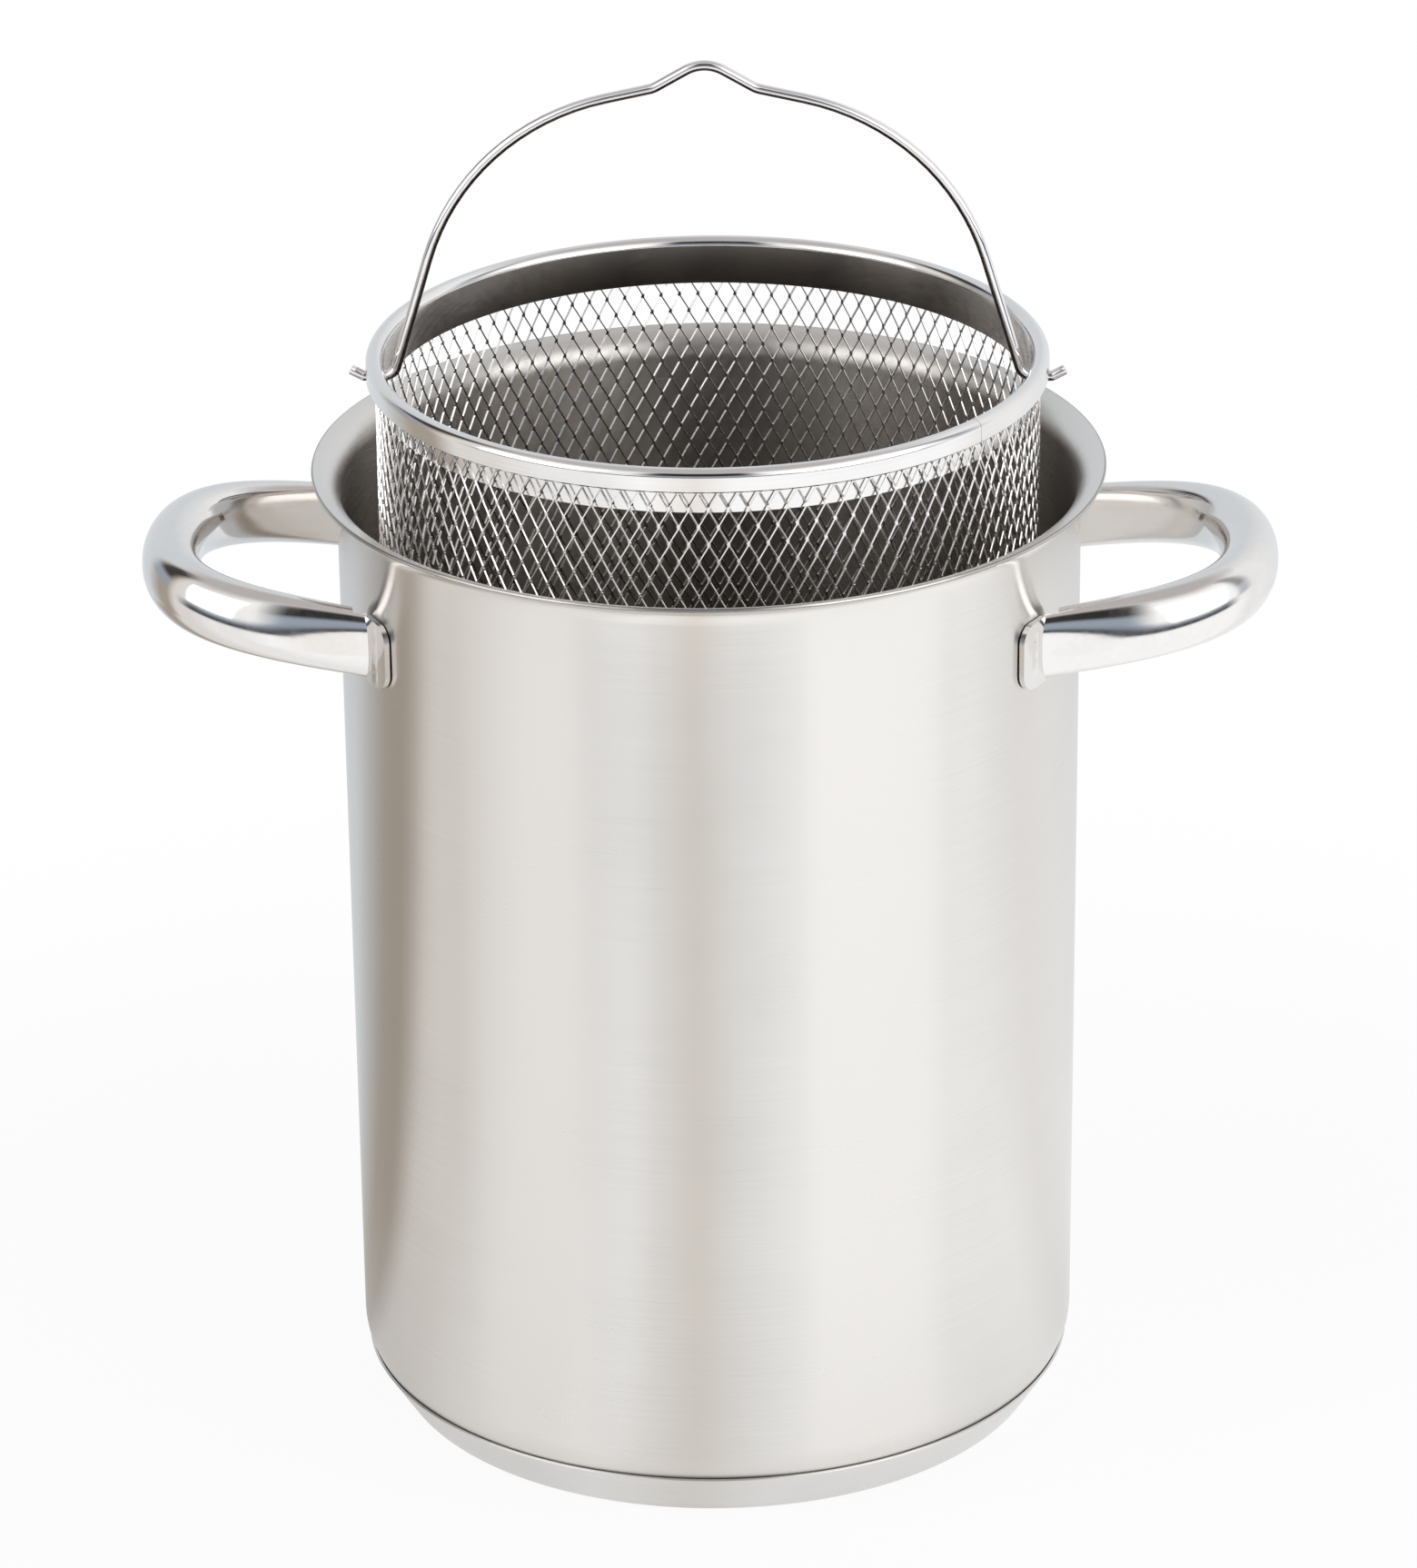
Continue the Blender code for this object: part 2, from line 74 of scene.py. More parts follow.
class Rides(Enum):
    """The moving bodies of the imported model."""

    POT = "pot"
    BASKET = "basket"
    BAIL = "bail"


class Grain(Enum):
    """The way a surface was brushed or polished."""

    ROUND = "rings about the pot's axis"
    EVERY_WAY = "no direction"


# Meshes

# Largest angle between two points of an arc, and of the small rounding of a sheet's edge.
STEP = math.radians(6)
EDGE_STEP = math.radians(30)

# Least cosine of half a corner for which a line beside a path keeps its distance.
MITRE = 0.5


def polar(radius: float, angle: float, height: float) -> Vector:
    """The point at a radius and a height, turned by an angle about the pot's axis."""
    return Vector((radius * math.cos(angle), radius * math.sin(angle), height))


def turned(first: Vector, second: Vector, angle: float) -> tuple[Vector, Vector]:
    """Two square directions turned in their own plane.

    Args:
        first: One direction.
        second: The other.
        angle: The turn from the first towards the second, in radians.

    Returns:
        Both directions after the turn.
    """
    return (
        math.cos(angle) * first + math.sin(angle) * second,
        math.cos(angle) * second - math.sin(angle) * first,
    )


def arc(centre: Vector, radius: float, start: float, end: float, step: float = STEP) -> list[Vector]:
    """Points of an arc in a plane, both ends included.

    Args:
        centre: Middle of the arc.
        radius: Its radius.
        start: First angle, in radians.
        end: Last angle, in radians.
        step: Largest angle between two points.

    Returns:
        The points, in order.
    """
    count = max(1, math.ceil(abs(end - start) / step))
    angles = [start + (end - start) * index / count for index in range(count + 1)]
    return [Vector((centre[0] + radius * math.cos(a), centre[1] + radius * math.sin(a))) for a in angles]


def rounded_path(
    corners: Sequence[Sequence[float]], step: float = STEP, closed: bool = False
) -> list[Vector]:
    """A path in a plane, with each corner rounded by its own radius.

    Args:
        corners: (x, y, radius) of each corner.
        step: Largest angle between two points of a rounding.
        closed: Whether the path comes back to its start.

    Returns:
        The points of the path.
    """
    path: list[Vector] = []
    last = len(corners) - 1
    for index, (x, y, radius) in enumerate(corners):
        here = Vector((x, y))
        if radius == 0 or (index in (0, last) and not closed):
            path.append(here)
            continue
        back = (Vector(corners[index - 1][:2]) - here).normalized()
        ahead = (Vector(corners[(index + 1) % len(corners)][:2]) - here).normalized()
        half = back.angle(ahead) / 2
        centre = here + (back + ahead).normalized() * radius / math.sin(half)
        first = here + back * radius / math.tan(half) - centre
        final = here + ahead * radius / math.tan(half) - centre
        start = math.atan2(first.y, first.x)
        path.extend(arc(centre, radius, start, start - first.angle_signed(final), step))
    return path


def offset_path(path: Sequence[Vector], distance: float) -> list[Vector]:
    """A line beside a path, on its left for a positive distance.

    Args:
        path: Points of the path.
        distance: How far the new line lies from it.

    Returns:
        One point for each point of the path.
    """
    sides = [Vector((a.y - b.y, b.x - a.x)).normalized() for a, b in zip(path, path[1:])]
    beside = []
    for index, point in enumerate(path):
        before = sides[max(index - 1, 0)]
        after = sides[min(index, len(sides) - 1)]
        middle = (before + after).normalized()
        beside.append(point + middle * distance / max(middle.dot(after), MITRE))
    return beside


def sheet_loop(path: Sequence[Vector], left: float, right: float, edge: float) -> list[Vector]:
    """The cross-section of a sheet that follows a path, with its cut edges eased.

    Args:
        path: The line that the sheet follows.
        left: How far the sheet reaches to the left of the line.
        right: How far it reaches to the right.
        edge: Radius of the eased edges.

    Returns:
        A closed loop of points.
    """
    near = offset_path(path, left)
    far = offset_path(path, -right)[::-1]
    ends = {0, len(near) - 1, len(near), 2 * len(near) - 1}
    loop = [*near, *far]
    corners = [(p.x, p.y, edge if index in ends and p.x > edge else 0.0) for index, p in enumerate(loop)]
    return rounded_path(corners, EDGE_STEP, closed=True)


def shaded(mesh: bpy.types.Mesh, sharp: float) -> bpy.types.Mesh:
    """A mesh shaded smooth, with sharp edges above an angle.

    Args:
        mesh: The mesh.
        sharp: The angle, in degrees.

    Returns:
        The same mesh.
    """
    mesh.shade_smooth()
    mesh.set_sharp_from_angle(angle=math.radians(sharp))
    return mesh


def finished_mesh(bm: bmesh.types.BMesh, name: str, sharp: float = 35.0) -> bpy.types.Mesh:
    """Turn a bmesh into a smooth mesh whose faces point outwards.

    Args:
        bm: The faces; it is freed.
        name: Name of the mesh.
        sharp: Angle in degrees above which an edge stays sharp.

    Returns:
        The mesh.
    """
    bmesh.ops.recalc_face_normals(bm, faces=bm.faces)
    mesh = bpy.data.meshes.new(name)
    bm.to_mesh(mesh)
    bm.free()
    return shaded(mesh, sharp)


def revolved(name: str, loop: Sequence[Vector], steps: int = 256) -> bpy.types.Mesh:
    """A closed loop of (radius, height) points turned once round the axis.

    Args:
        name: Name of the mesh.
        loop: The cross-section, in metres; a point on the axis becomes a pole.
        steps: Number of sides.

    Returns:
        The mesh, with each point's place along the loop, from 0 to 1, in its "loop_share" attribute.
    """
    bm = bmesh.new()
    share = bm.verts.layers.float.new("loop_share")
    turns = [2 * math.pi * index / steps for index in range(steps)]
    rings = []
    for place, point in enumerate(loop):
        count = steps if point.x > MM / 100 else 1
        rings.append([bm.verts.new(polar(point.x, angle, point.y)) for angle in turns[:count]])
        for vert in rings[-1]:
            vert[share] = place / (len(loop) - 1)
    for first, second in zip(rings, [*rings[1:], rings[0]]):
        if len(first) == len(second) == 1:
            continue
        for index in range(steps):
            follow = (index + 1) % steps
            corners = [first[index % len(first)], first[follow % len(first)]]
            corners += [second[follow % len(second)], second[index % len(second)]]
            bm.faces.new(list(dict.fromkeys(corners)))
    return finished_mesh(bm, name)


def spun_sheet(
    name: str, path: Sequence[Vector], left: float, right: float, steps: int = 256
) -> bpy.types.Mesh:
    """A sheet that follows a path, turned once round the axis.

    Args:
        name: Name of the mesh.
        path: (radius, height) points in millimetres.
        left: How far the sheet reaches to the left of the path.
        right: How far it reaches to the right.
        steps: Number of sides.

    Returns:
        The mesh.
    """
    loop = sheet_loop(path, left, right, (left + right) * EASED)
    return revolved(name, [point * MM for point in loop], steps)


def lofted(name: str, rings: Sequence[Sequence[Vector]]) -> bpy.types.Mesh:
    """A closed loft through rings of as many points each.

    Args:
        name: Name of the mesh.
        rings: Points of each ring, in order.

    Returns:
        The mesh, with both ends capped.
    """
    bm = bmesh.new()
    rows = [[bm.verts.new(point) for point in ring] for ring in rings]
    for first, second in zip(rows, rows[1:]):
        for index in range(len(first)):
            follow = (index + 1) % len(first)
            bm.faces.new((first[index], first[follow], second[follow], second[index]))
    bm.faces.new(rows[0][::-1])
    bm.faces.new(rows[-1])
    return finished_mesh(bm, name)


def add_piece(name: str, data: bpy.types.ID) -> bpy.types.Object:
    """Link a new object at the origin, unturned and unscaled.

    Args:
        name: Name of the object.
        data: Its mesh or curve, in the frame of the model.

    Returns:
        The object.
    """
    piece = bpy.data.objects.new(name, data)
    bpy.context.scene.collection.objects.link(piece)
    return piece


def baked(piece: bpy.types.Object, name: str) -> bpy.types.Mesh:
    """The mesh that an object's modifiers give; the object is removed.

    Args:
        piece: The object with live modifiers.
        name: Name of the new mesh.

    Returns:
        A plain mesh.
    """
    bpy.context.view_layer.update()
    graph = bpy.context.evaluated_depsgraph_get()
    mesh = bpy.data.meshes.new_from_object(piece.evaluated_get(graph))
    mesh.name = name
    bpy.data.objects.remove(piece, do_unlink=True)
    return mesh


def carved(piece: bpy.types.Object, name: str, sharp: float, steps: Sequence[tuple]) -> bpy.types.Mesh:
    """The mesh of a piece after solids are cut out of it or joined on; piece and solids are removed.

    Args:
        piece: The piece.
        name: Name of the new mesh.
        sharp: Angle in degrees above which an edge stays sharp.
        steps: (solid, a Boolean modifier's operation) of each step, in order.

    Returns:
        The mesh.
    """
    for solid, operation in steps:
        boolean = piece.modifiers.new(solid.name, "BOOLEAN")
        boolean.operation = operation
        boolean.object = solid
    mesh = baked(piece, name)
    for solid, _ in steps:
        bpy.data.objects.remove(solid, do_unlink=True)
    return shaded(mesh, sharp)


def settle(
    piece: bpy.types.Object, body: Rides, slot: str, material: bpy.types.Material, *nodes: str
) -> None:
    """Dress a finished piece and seat it on its body.

    Args:
        piece: The piece, with no modifiers left.
        body: The body that it rides on.
        slot: The record's material slot; not used.
        material: Its finish.
        nodes: The model's nodes that it stands for.
    """
    piece.data.materials.clear()
    piece.data.materials.append(material)
    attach(piece, body.value)
    if nodes:
        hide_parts(*nodes)
    LOG.info("%s: %d faces on %s", piece.name, len(piece.data.polygons), body.value)


# Nodes

# A node to add: the name of its result, its type, its settings and its inputs.
Row = tuple[str, str, dict, dict | tuple]
Known = dict[str, bpy.types.NodeSocket]

MATH = "ShaderNodeMath"
VECTORS = "ShaderNodeVectorMath"
APART = "ShaderNodeSeparateXYZ"
TOGETHER = "ShaderNodeCombineXYZ"
MIX = "ShaderNodeMix"
RANGE = "ShaderNodeMapRange"
RAMP = "ShaderNodeValToRGB"
NOISE = "ShaderNodeTexNoise"
SHADER = "ShaderNodeBsdfPrincipled"
TIMES = {"operation": "MULTIPLY"}
COLOURS = {"data_type": "RGBA"}
TINT = {"data_type": "RGBA", "blend_type": "MULTIPLY"}
NUMBERS = {"data_type": "FLOAT"}
SMOOTH = {"interpolation_type": "SMOOTHSTEP"}
PLACE = ("place", "ShaderNodeTexCoord", {}, {})


def add_nodes(tree: bpy.types.NodeTree, known: Known, rows: Iterable[Row]) -> None:
    """Add nodes one after the other, each with its settings and links.

    Args:
        tree: The node tree.
        known: Sockets by name. Each result is added under its row's name, and each output of the node under
            the row's name, a dot and the output's name.
        rows: The nodes. Inputs go by name, or in a tuple in the node's own order. Each is a value, or the
            name of a known socket.
    """
    for name, kind, settings, inputs in rows:
        node = tree.nodes.new(kind)
        for key, value in settings.items():
            setattr(node, key, value)
        if isinstance(inputs, dict):
            pairs = [(node.inputs[key], value) for key, value in inputs.items()]
        else:
            pairs = list(zip([socket for socket in node.inputs if socket.enabled], inputs))
        for socket, value in pairs:
            if isinstance(value, str) and value in known:
                tree.links.new(known[value], socket)
            else:
                socket.default_value = value
        outputs = [socket for socket in node.outputs if socket.enabled]
        known.update({f"{name}.{socket.name}": socket for socket in outputs})
        if outputs:
            known[name] = outputs[0]


def new_group(name: str, kinds: dict[str, str]) -> tuple[bpy.types.GeometryNodeTree, Known, dict[str, str]]:
    """A Geometry Nodes tree with named inputs.

    Args:
        name: Name of the tree.
        kinds: Type of each input, by its name.

    Returns:
        The tree, its inputs' sockets by name, and their identifiers by name.
    """
    tree = bpy.data.node_groups.new(name, "GeometryNodeTree")
    tree.interface.new_socket("Geometry", in_out="OUTPUT", socket_type="NodeSocketGeometry")
    names = {
        label: tree.interface.new_socket(label, in_out="INPUT", socket_type=f"NodeSocket{kind}").identifier
        for label, kind in kinds.items()
    }
    known: Known = {}
    add_nodes(tree, known, [("given", "NodeGroupInput", {}, {})])
    return tree, {label: known[f"given.{label}"] for label in kinds}, names


def finish_group(tree: bpy.types.GeometryNodeTree, known: Known, result: str) -> None:
    """End a Geometry Nodes tree: its result becomes plain faces with the material of its input.

    Args:
        tree: The tree.
        known: Its sockets by name.
        result: Name of the geometry that it gives.
    """
    rows = [
        ("real", "GeometryNodeRealizeInstances", {}, {"Geometry": result}),
        ("dressed", "GeometryNodeSetMaterial", {}, {"Geometry": "real", "Material": "Material"}),
        ("out", "NodeGroupOutput", {}, {"Geometry": "dressed"}),
    ]
    add_nodes(tree, known, rows)


def grown(
    seed: bpy.types.Object, name: str, tree: bpy.types.GeometryNodeTree, values: dict
) -> bpy.types.Mesh:
    """The mesh that a tree grows from an object; the object is removed.

    Args:
        seed: The object.
        name: Name of the new mesh.
        tree: The tree.
        values: Value of each input, by its identifier.

    Returns:
        The mesh.
    """
    grower = seed.modifiers.new(tree.name, "NODES")
    grower.node_group = tree
    for identifier, value in values.items():
        grower[identifier] = value
    return baked(seed, name)


# Finishes


def linear(colour: str) -> tuple[float, float, float, float]:
    """Linear RGBA of an sRGB hex colour such as "c8c4bd"."""
    parts = [int(colour[index : index + 2], 16) / 255 for index in (0, 2, 4)]
    return (*(p / 12.92 if p <= 0.04045 else ((p + 0.055) / 1.055) ** 2.4 for p in parts), 1.0)


def new_material(name: str) -> tuple[bpy.types.Material, bpy.types.NodeTree]:
    """A material with an empty node tree.

    Args:
        name: The finish's common name.

    Returns:
        The material and its tree.
    """
    material = bpy.data.materials.new(name)
    material.use_nodes = True
    material.node_tree.nodes.clear()
    return material, material.node_tree


@dataclass(frozen=True)
class Steel:
    """Stainless steel sheet, tube or wire, brushed or polished.

    Args:
        name: Common name of the finish.
        pale: Colour of the bare metal.
        dull_or_shade: Colour in the lines and smears.
        roughness: Middle roughness.
        spread: How far roughness wanders.
        grain: Which way it was worked.
        line: Spacing of the grain's lines in millimetres.
        depth: Height of the lines in millimetres.
        stretch: Anisotropy across the lines.
        smear: Size in millimetres of the cloudy marks that handling leaves.
        inner: Colour of painted shade on a sheet's inner side; empty where both sides are alike.
    """

    name: str
    pale: str
    dull_or_shade: str
    roughness: float
    spread: float
    grain: Grain
    line: float
    depth: float
    stretch: float
    smear: float
    inner: str = ""

    def ring_rows(self) -> list[Row]:
        """Nodes for "rings": coordinates that run fast across the rings and slowly along them.

        Returns:
            The nodes. They read "place".
        """
        return [
            ("apart", APART, {}, ("place.Object",)),
            ("flat", VECTORS, TIMES, ("place.Object", (1.0, 1.0, 0.0))),
            ("radius", VECTORS, {"operation": "LENGTH"}, ("flat",)),
            ("across", MATH, {"operation": "ADD"}, ("apart.Z", "radius")),
            ("drawn", VECTORS, {"operation": "SCALE"}, ("flat", LINE_DRAW)),
            ("split", APART, {}, ("drawn",)),
            ("rings", TOGETHER, {}, ("split.X", "split.Y", "across")),
        ]

    def side_rows(self) -> list[Row]:
        """Nodes that paint shade on a sheet's inner side, polish its flare, and paint shade on its cut edge
        and roughen it.

        Returns:
            The nodes. They read "colour" and "rough" and give both anew.
        """
        return [
            ("share", "ShaderNodeAttribute", {"attribute_name": "loop_share"}, {}),
            # Painted shade: the inner side is tinted darker, fading out towards the lip.
            ("fading", RANGE, {}, ("share.Fac", *INNER_END, 1.0, 0.0)),
            ("inner half", MATH, {"operation": "GREATER_THAN"}, ("share.Fac", FLOOR_MIDDLE)),
            ("inside", MATH, TIMES, ("inner half", "fading")),
            ("painted shade colour", MIX, TINT, (1.0, "colour", linear(self.inner))),
            ("colour", MIX, COLOURS, ("inside", "colour", "painted shade colour")),
            ("polish", RANGE, SMOOTH, ("share.Fac", *FLARE_END, FLARE_POLISH, 1.0)),
            ("from middle", MATH, {"operation": "SUBTRACT"}, ("share.Fac", FLOOR_MIDDLE)),
            ("outwards", MATH, {"operation": "ABSOLUTE"}, ("from middle",)),
            # Painted shade: the lip's cut edge is tinted darker, and made rougher.
            ("cut edge", RANGE, {}, ("outwards", *CUT_EDGE, 0.0, 1.0)),
            ("painted edge shade", MIX, TINT, (1.0, "colour", linear(EDGE_PAINTED_SHADE))),
            ("colour", MIX, COLOURS, ("cut edge", "colour", "painted edge shade")),
            ("polish", MIX, NUMBERS, ("cut edge", "polish", EDGE_POLISH)),
            ("rough", MATH, TIMES, ("rough", "polish")),
        ]

    def build(self) -> bpy.types.Material:
        """The material, with its grain in colour, roughness and height.

        Returns:
            The material.
        """
        material, tree = new_material(self.name)
        ringed = self.grain is Grain.ROUND
        across = "rings" if ringed else "place.Object"
        rough = (self.roughness + self.spread, self.roughness - self.spread)
        surface = {"Base Color": "colour", "Metallic": 1.0, "Roughness": "rough"}
        rows = [
            PLACE,
            *(self.ring_rows() if ringed else ()),
            ("lines", NOISE, {}, (across, 1 / (self.line * MM), LINE_DETAIL)),
            ("clouds", NOISE, {}, ("place.Object", 1 / (self.smear * MM), CLOUD_DETAIL)),
            ("wear", MIX, NUMBERS, (CLOUD_SHARE, "lines", "clouds")),
            ("colour", MIX, COLOURS, ("wear", linear(self.dull_or_shade), linear(self.pale))),
            ("rough", RANGE, {}, ("wear", *WEAR_ENDS, *rough)),
            *(self.side_rows() if self.inner else ()),
        ]
        if self.depth:
            height = {"Strength": 1.0, "Distance": self.depth * MM, "Height": "lines"}
            rows.append(("relief", "ShaderNodeBump", {}, height))
            surface["Normal"] = "relief"
        if self.stretch:
            rows.append(("along", "ShaderNodeTangent", {"direction_type": "RADIAL", "axis": "Z"}, {}))
            surface |= {"Anisotropic": self.stretch, "Anisotropic Rotation": ACROSS_LINES, "Tangent": "along"}
        rows.append(("shader", SHADER, {}, surface))
        rows.append(("out", "ShaderNodeOutputMaterial", {}, {"Surface": "shader"}))
        add_nodes(tree, {}, rows)
        return material


# How much of the wear is cloudy, how slowly the pattern changes along a brushed line against across it, how
# many octaves of noise lines and clouds have, and the quarter turn that spreads lights across the lines.
CLOUD_SHARE = 0.4
LINE_DRAW = 0.008
LINE_DETAIL = 3.0
CLOUD_DETAIL = 4.0
ACROSS_LINES = 0.25

# Wear between which roughness wanders over its whole spread.
WEAR_ENDS = (0.3, 0.7)

# Shares of the pot's cross-section, which runs from the lip down the outside and back up the inside: where
# the flare's mirror polish ends outside, where the painted shade of the inner side fades out, and how near
# the lip the cut edge, darkened with painted shade, begins, counted from the middle of the floor.
FLOOR_MIDDLE = 0.5
FLARE_END = (0.12, 0.21)
INNER_END = (0.78, 0.88)
CUT_EDGE = (0.455, 0.466)
FLARE_POLISH = 0.4
EDGE_POLISH = 1.4
# Painted shade along the lip's cut edge.
EDGE_PAINTED_SHADE = "b9b6b4"

# Stainless steel, satin brushed round the body on a lathe. The lines run round the pot, so lights draw out
# into upright bands. The real lines are under 0.1 mm apart; they are drawn 0.3 mm apart to show at all.
# Its last colour darkens the inside of the pot: painted shade.
BODY_STEEL = Steel(
    "satin_brushed_stainless", "dfdbd7", "d9d5d0", 0.26, 0.02, Grain.ROUND, 0.3, 0.0002, 1.0, 22.0, "c4beb8"
)

# The same steel on the pressed base cap, a shade greyer and blunter.
BASE_STEEL = Steel(
    "satin_stainless_base", "e1dfdc", "d0cecb", 0.38, 0.05, Grain.ROUND, 0.35, 0.002, 0.6, 18.0
)

# Steel tube and rim strip polished with a mop: near to a mirror, with faint clouds of fine scratches.
HANDLE_STEEL = Steel(
    "polished_stainless_tube", "e8e5e2", "dcd9d6", 0.1, 0.03, Grain.EVERY_WAY, 1.6, 0.0, 0.0, 9.0
)
RIM_STEEL = Steel("polished_stainless_strip", "ebe9e7", "dddad8", 0.1, 0.02, Grain.ROUND, 0.5, 0.0, 0.0, 7.0)

# Rolled strip of the basket's foot: satin, as it comes from the rolls.
FOOT_STEEL = Steel(
    "rolled_stainless_strip", "d8d5d2", "c4c1bd", 0.24, 0.04, Grain.ROUND, 0.5, 0.001, 0.3, 9.0
)

# Drawn spring wire: bright and smooth.
WIRE_STEEL = Steel(
    "drawn_stainless_wire", "eeecec", "dedbdb", 0.08, 0.02, Grain.EVERY_WAY, 3.0, 0.0, 0.0, 6.0
)

# Slit and stretched sheet: small facets, pale on the outer faces, and tinted darker on the faces towards the
# basket's inside, all along one family of strands and in the bonds of the other: painted shade.
MESH_STEEL = Steel(
    "expanded_stainless", "f6f4f2", "e6e3e0", 0.28, 0.06, Grain.EVERY_WAY, 0.9, 0.0, 0.0, 5.0, "8f8a87"
)

# Aluminium disc inside the base, sawn from plate: pale, matt and hidden.
CORE_METAL = Steel(
    "plain_aluminium_plate", "e3e4e6", "cdced0", 0.45, 0.05, Grain.ROUND, 0.8, 0.002, 0.0, 12.0
)


# Pot


@dataclass
class PotShell:
    """The deep-drawn pot: flared rim, slightly tapered wall, round foot corner, flat floor."""

    height: float = 217.5
    sheet: float = 0.8
    wall_top: float = 80.0
    wall_foot: float = 79.0
    rim: float = 85.4
    rim_bend: float = 5.0
    lip_angle: float = 18.0
    corner: float = 12.0
    underside: float = 5.5
    wall_rows: int = 12
    sides: int = 320

    def corner_centre(self) -> Vector:
        """Middle of the foot corner's arc, as (radius, height)."""
        return Vector((self.wall_foot - self.corner, self.underside + self.corner))

    def wall_radius(self, height: float) -> float:
        """Outer radius of the tapered wall at a height.

        Args:
            height: Height over the table.

        Returns:
            The radius.
        """
        foot = self.corner_centre().y
        share = (height - foot) / (self.flare_foot() - foot)
        return self.wall_foot + (self.wall_top - self.wall_foot) * share

    def lip_rise(self) -> float:
        """How far the straight lip climbs past the flare's bend."""
        lip = self.rim - self.wall_top - self.rim_bend * (1 - math.sin(math.radians(self.lip_angle)))
        return lip * math.tan(math.radians(self.lip_angle))

    def flare_foot(self) -> float:
        """Height at which the wall ends and the flare begins."""
        bend_and_sheet = (self.rim_bend + self.sheet) * math.cos(math.radians(self.lip_angle))
        return self.height - self.lip_rise() - bend_and_sheet

    def line(self) -> list[Vector]:
        """The outside of the sheet.

        Returns:
            Points from the lip down to the middle of the floor.
        """
        turn = math.pi / 2 - math.radians(self.lip_angle)
        foot = self.flare_foot()
        flare = arc(Vector((self.wall_top + self.rim_bend, foot)), self.rim_bend, math.pi - turn, math.pi)
        corner = arc(self.corner_centre(), self.corner, 0.0, -math.pi / 2)
        wall = [flare[-1].lerp(corner[0], index / self.wall_rows) for index in range(1, self.wall_rows)]
        start = Vector((self.rim, foot + self.rim_bend * math.sin(turn) + self.lip_rise()))
        return [start, *flare, *wall, *corner, Vector((0.0, self.underside))]

    def build(self, finish: Steel) -> None:
        """Make the shell.

        Args:
            finish: The body's steel.
        """
        mesh = spun_sheet("pot_body", self.line(), 0.0, self.sheet, self.sides)
        settle(add_piece("pot_body", mesh), Rides.POT, "satin_body", finish.build(), "pot_shell")


@dataclass
class PotBase:
    """The cap pressed over the heat-spreading disc; its upper edge is the dark seam round the pot."""

    shell: PotShell
    sheet: float = 0.6
    gap: float = 0.22
    edge_height: float = 11.6
    lean: float = 33.0
    bottom_round: float = 4.0

    def line(self) -> list[Vector]:
        """The outside of the cap.

        Returns:
            Points from its edge down to the middle of its underside.
        """
        centre = self.shell.corner_centre()
        angle = math.asin((centre.y - self.edge_height) / self.shell.corner)
        reach = self.shell.corner + self.gap + self.sheet
        edge = Vector((centre.x + reach * math.cos(angle), centre.y - reach * math.sin(angle)))
        foot = edge.x - edge.y * math.tan(math.radians(self.lean))
        return rounded_path([(edge.x, edge.y, 0.0), (foot, 0.0, self.bottom_round), (0.0, 0.0, 0.0)])

    def build(self, cap_finish: Steel, core_finish: Steel) -> None:
        """Make the cap and finish the disc.

        Args:
            cap_finish: The cap's steel.
            core_finish: The disc's metal.
        """
        mesh = spun_sheet("pot_base_cap", self.line(), 0.0, self.sheet, self.shell.sides)
        settle(add_piece("pot_base_cap", mesh), Rides.POT, "satin_base", cap_finish.build(), "base_cap")
        core = frame["nodes"]["base_core"]
        core.data.materials.clear()
        core.data.materials.append(core_finish.build())
        LOG.info("base_core: kept")


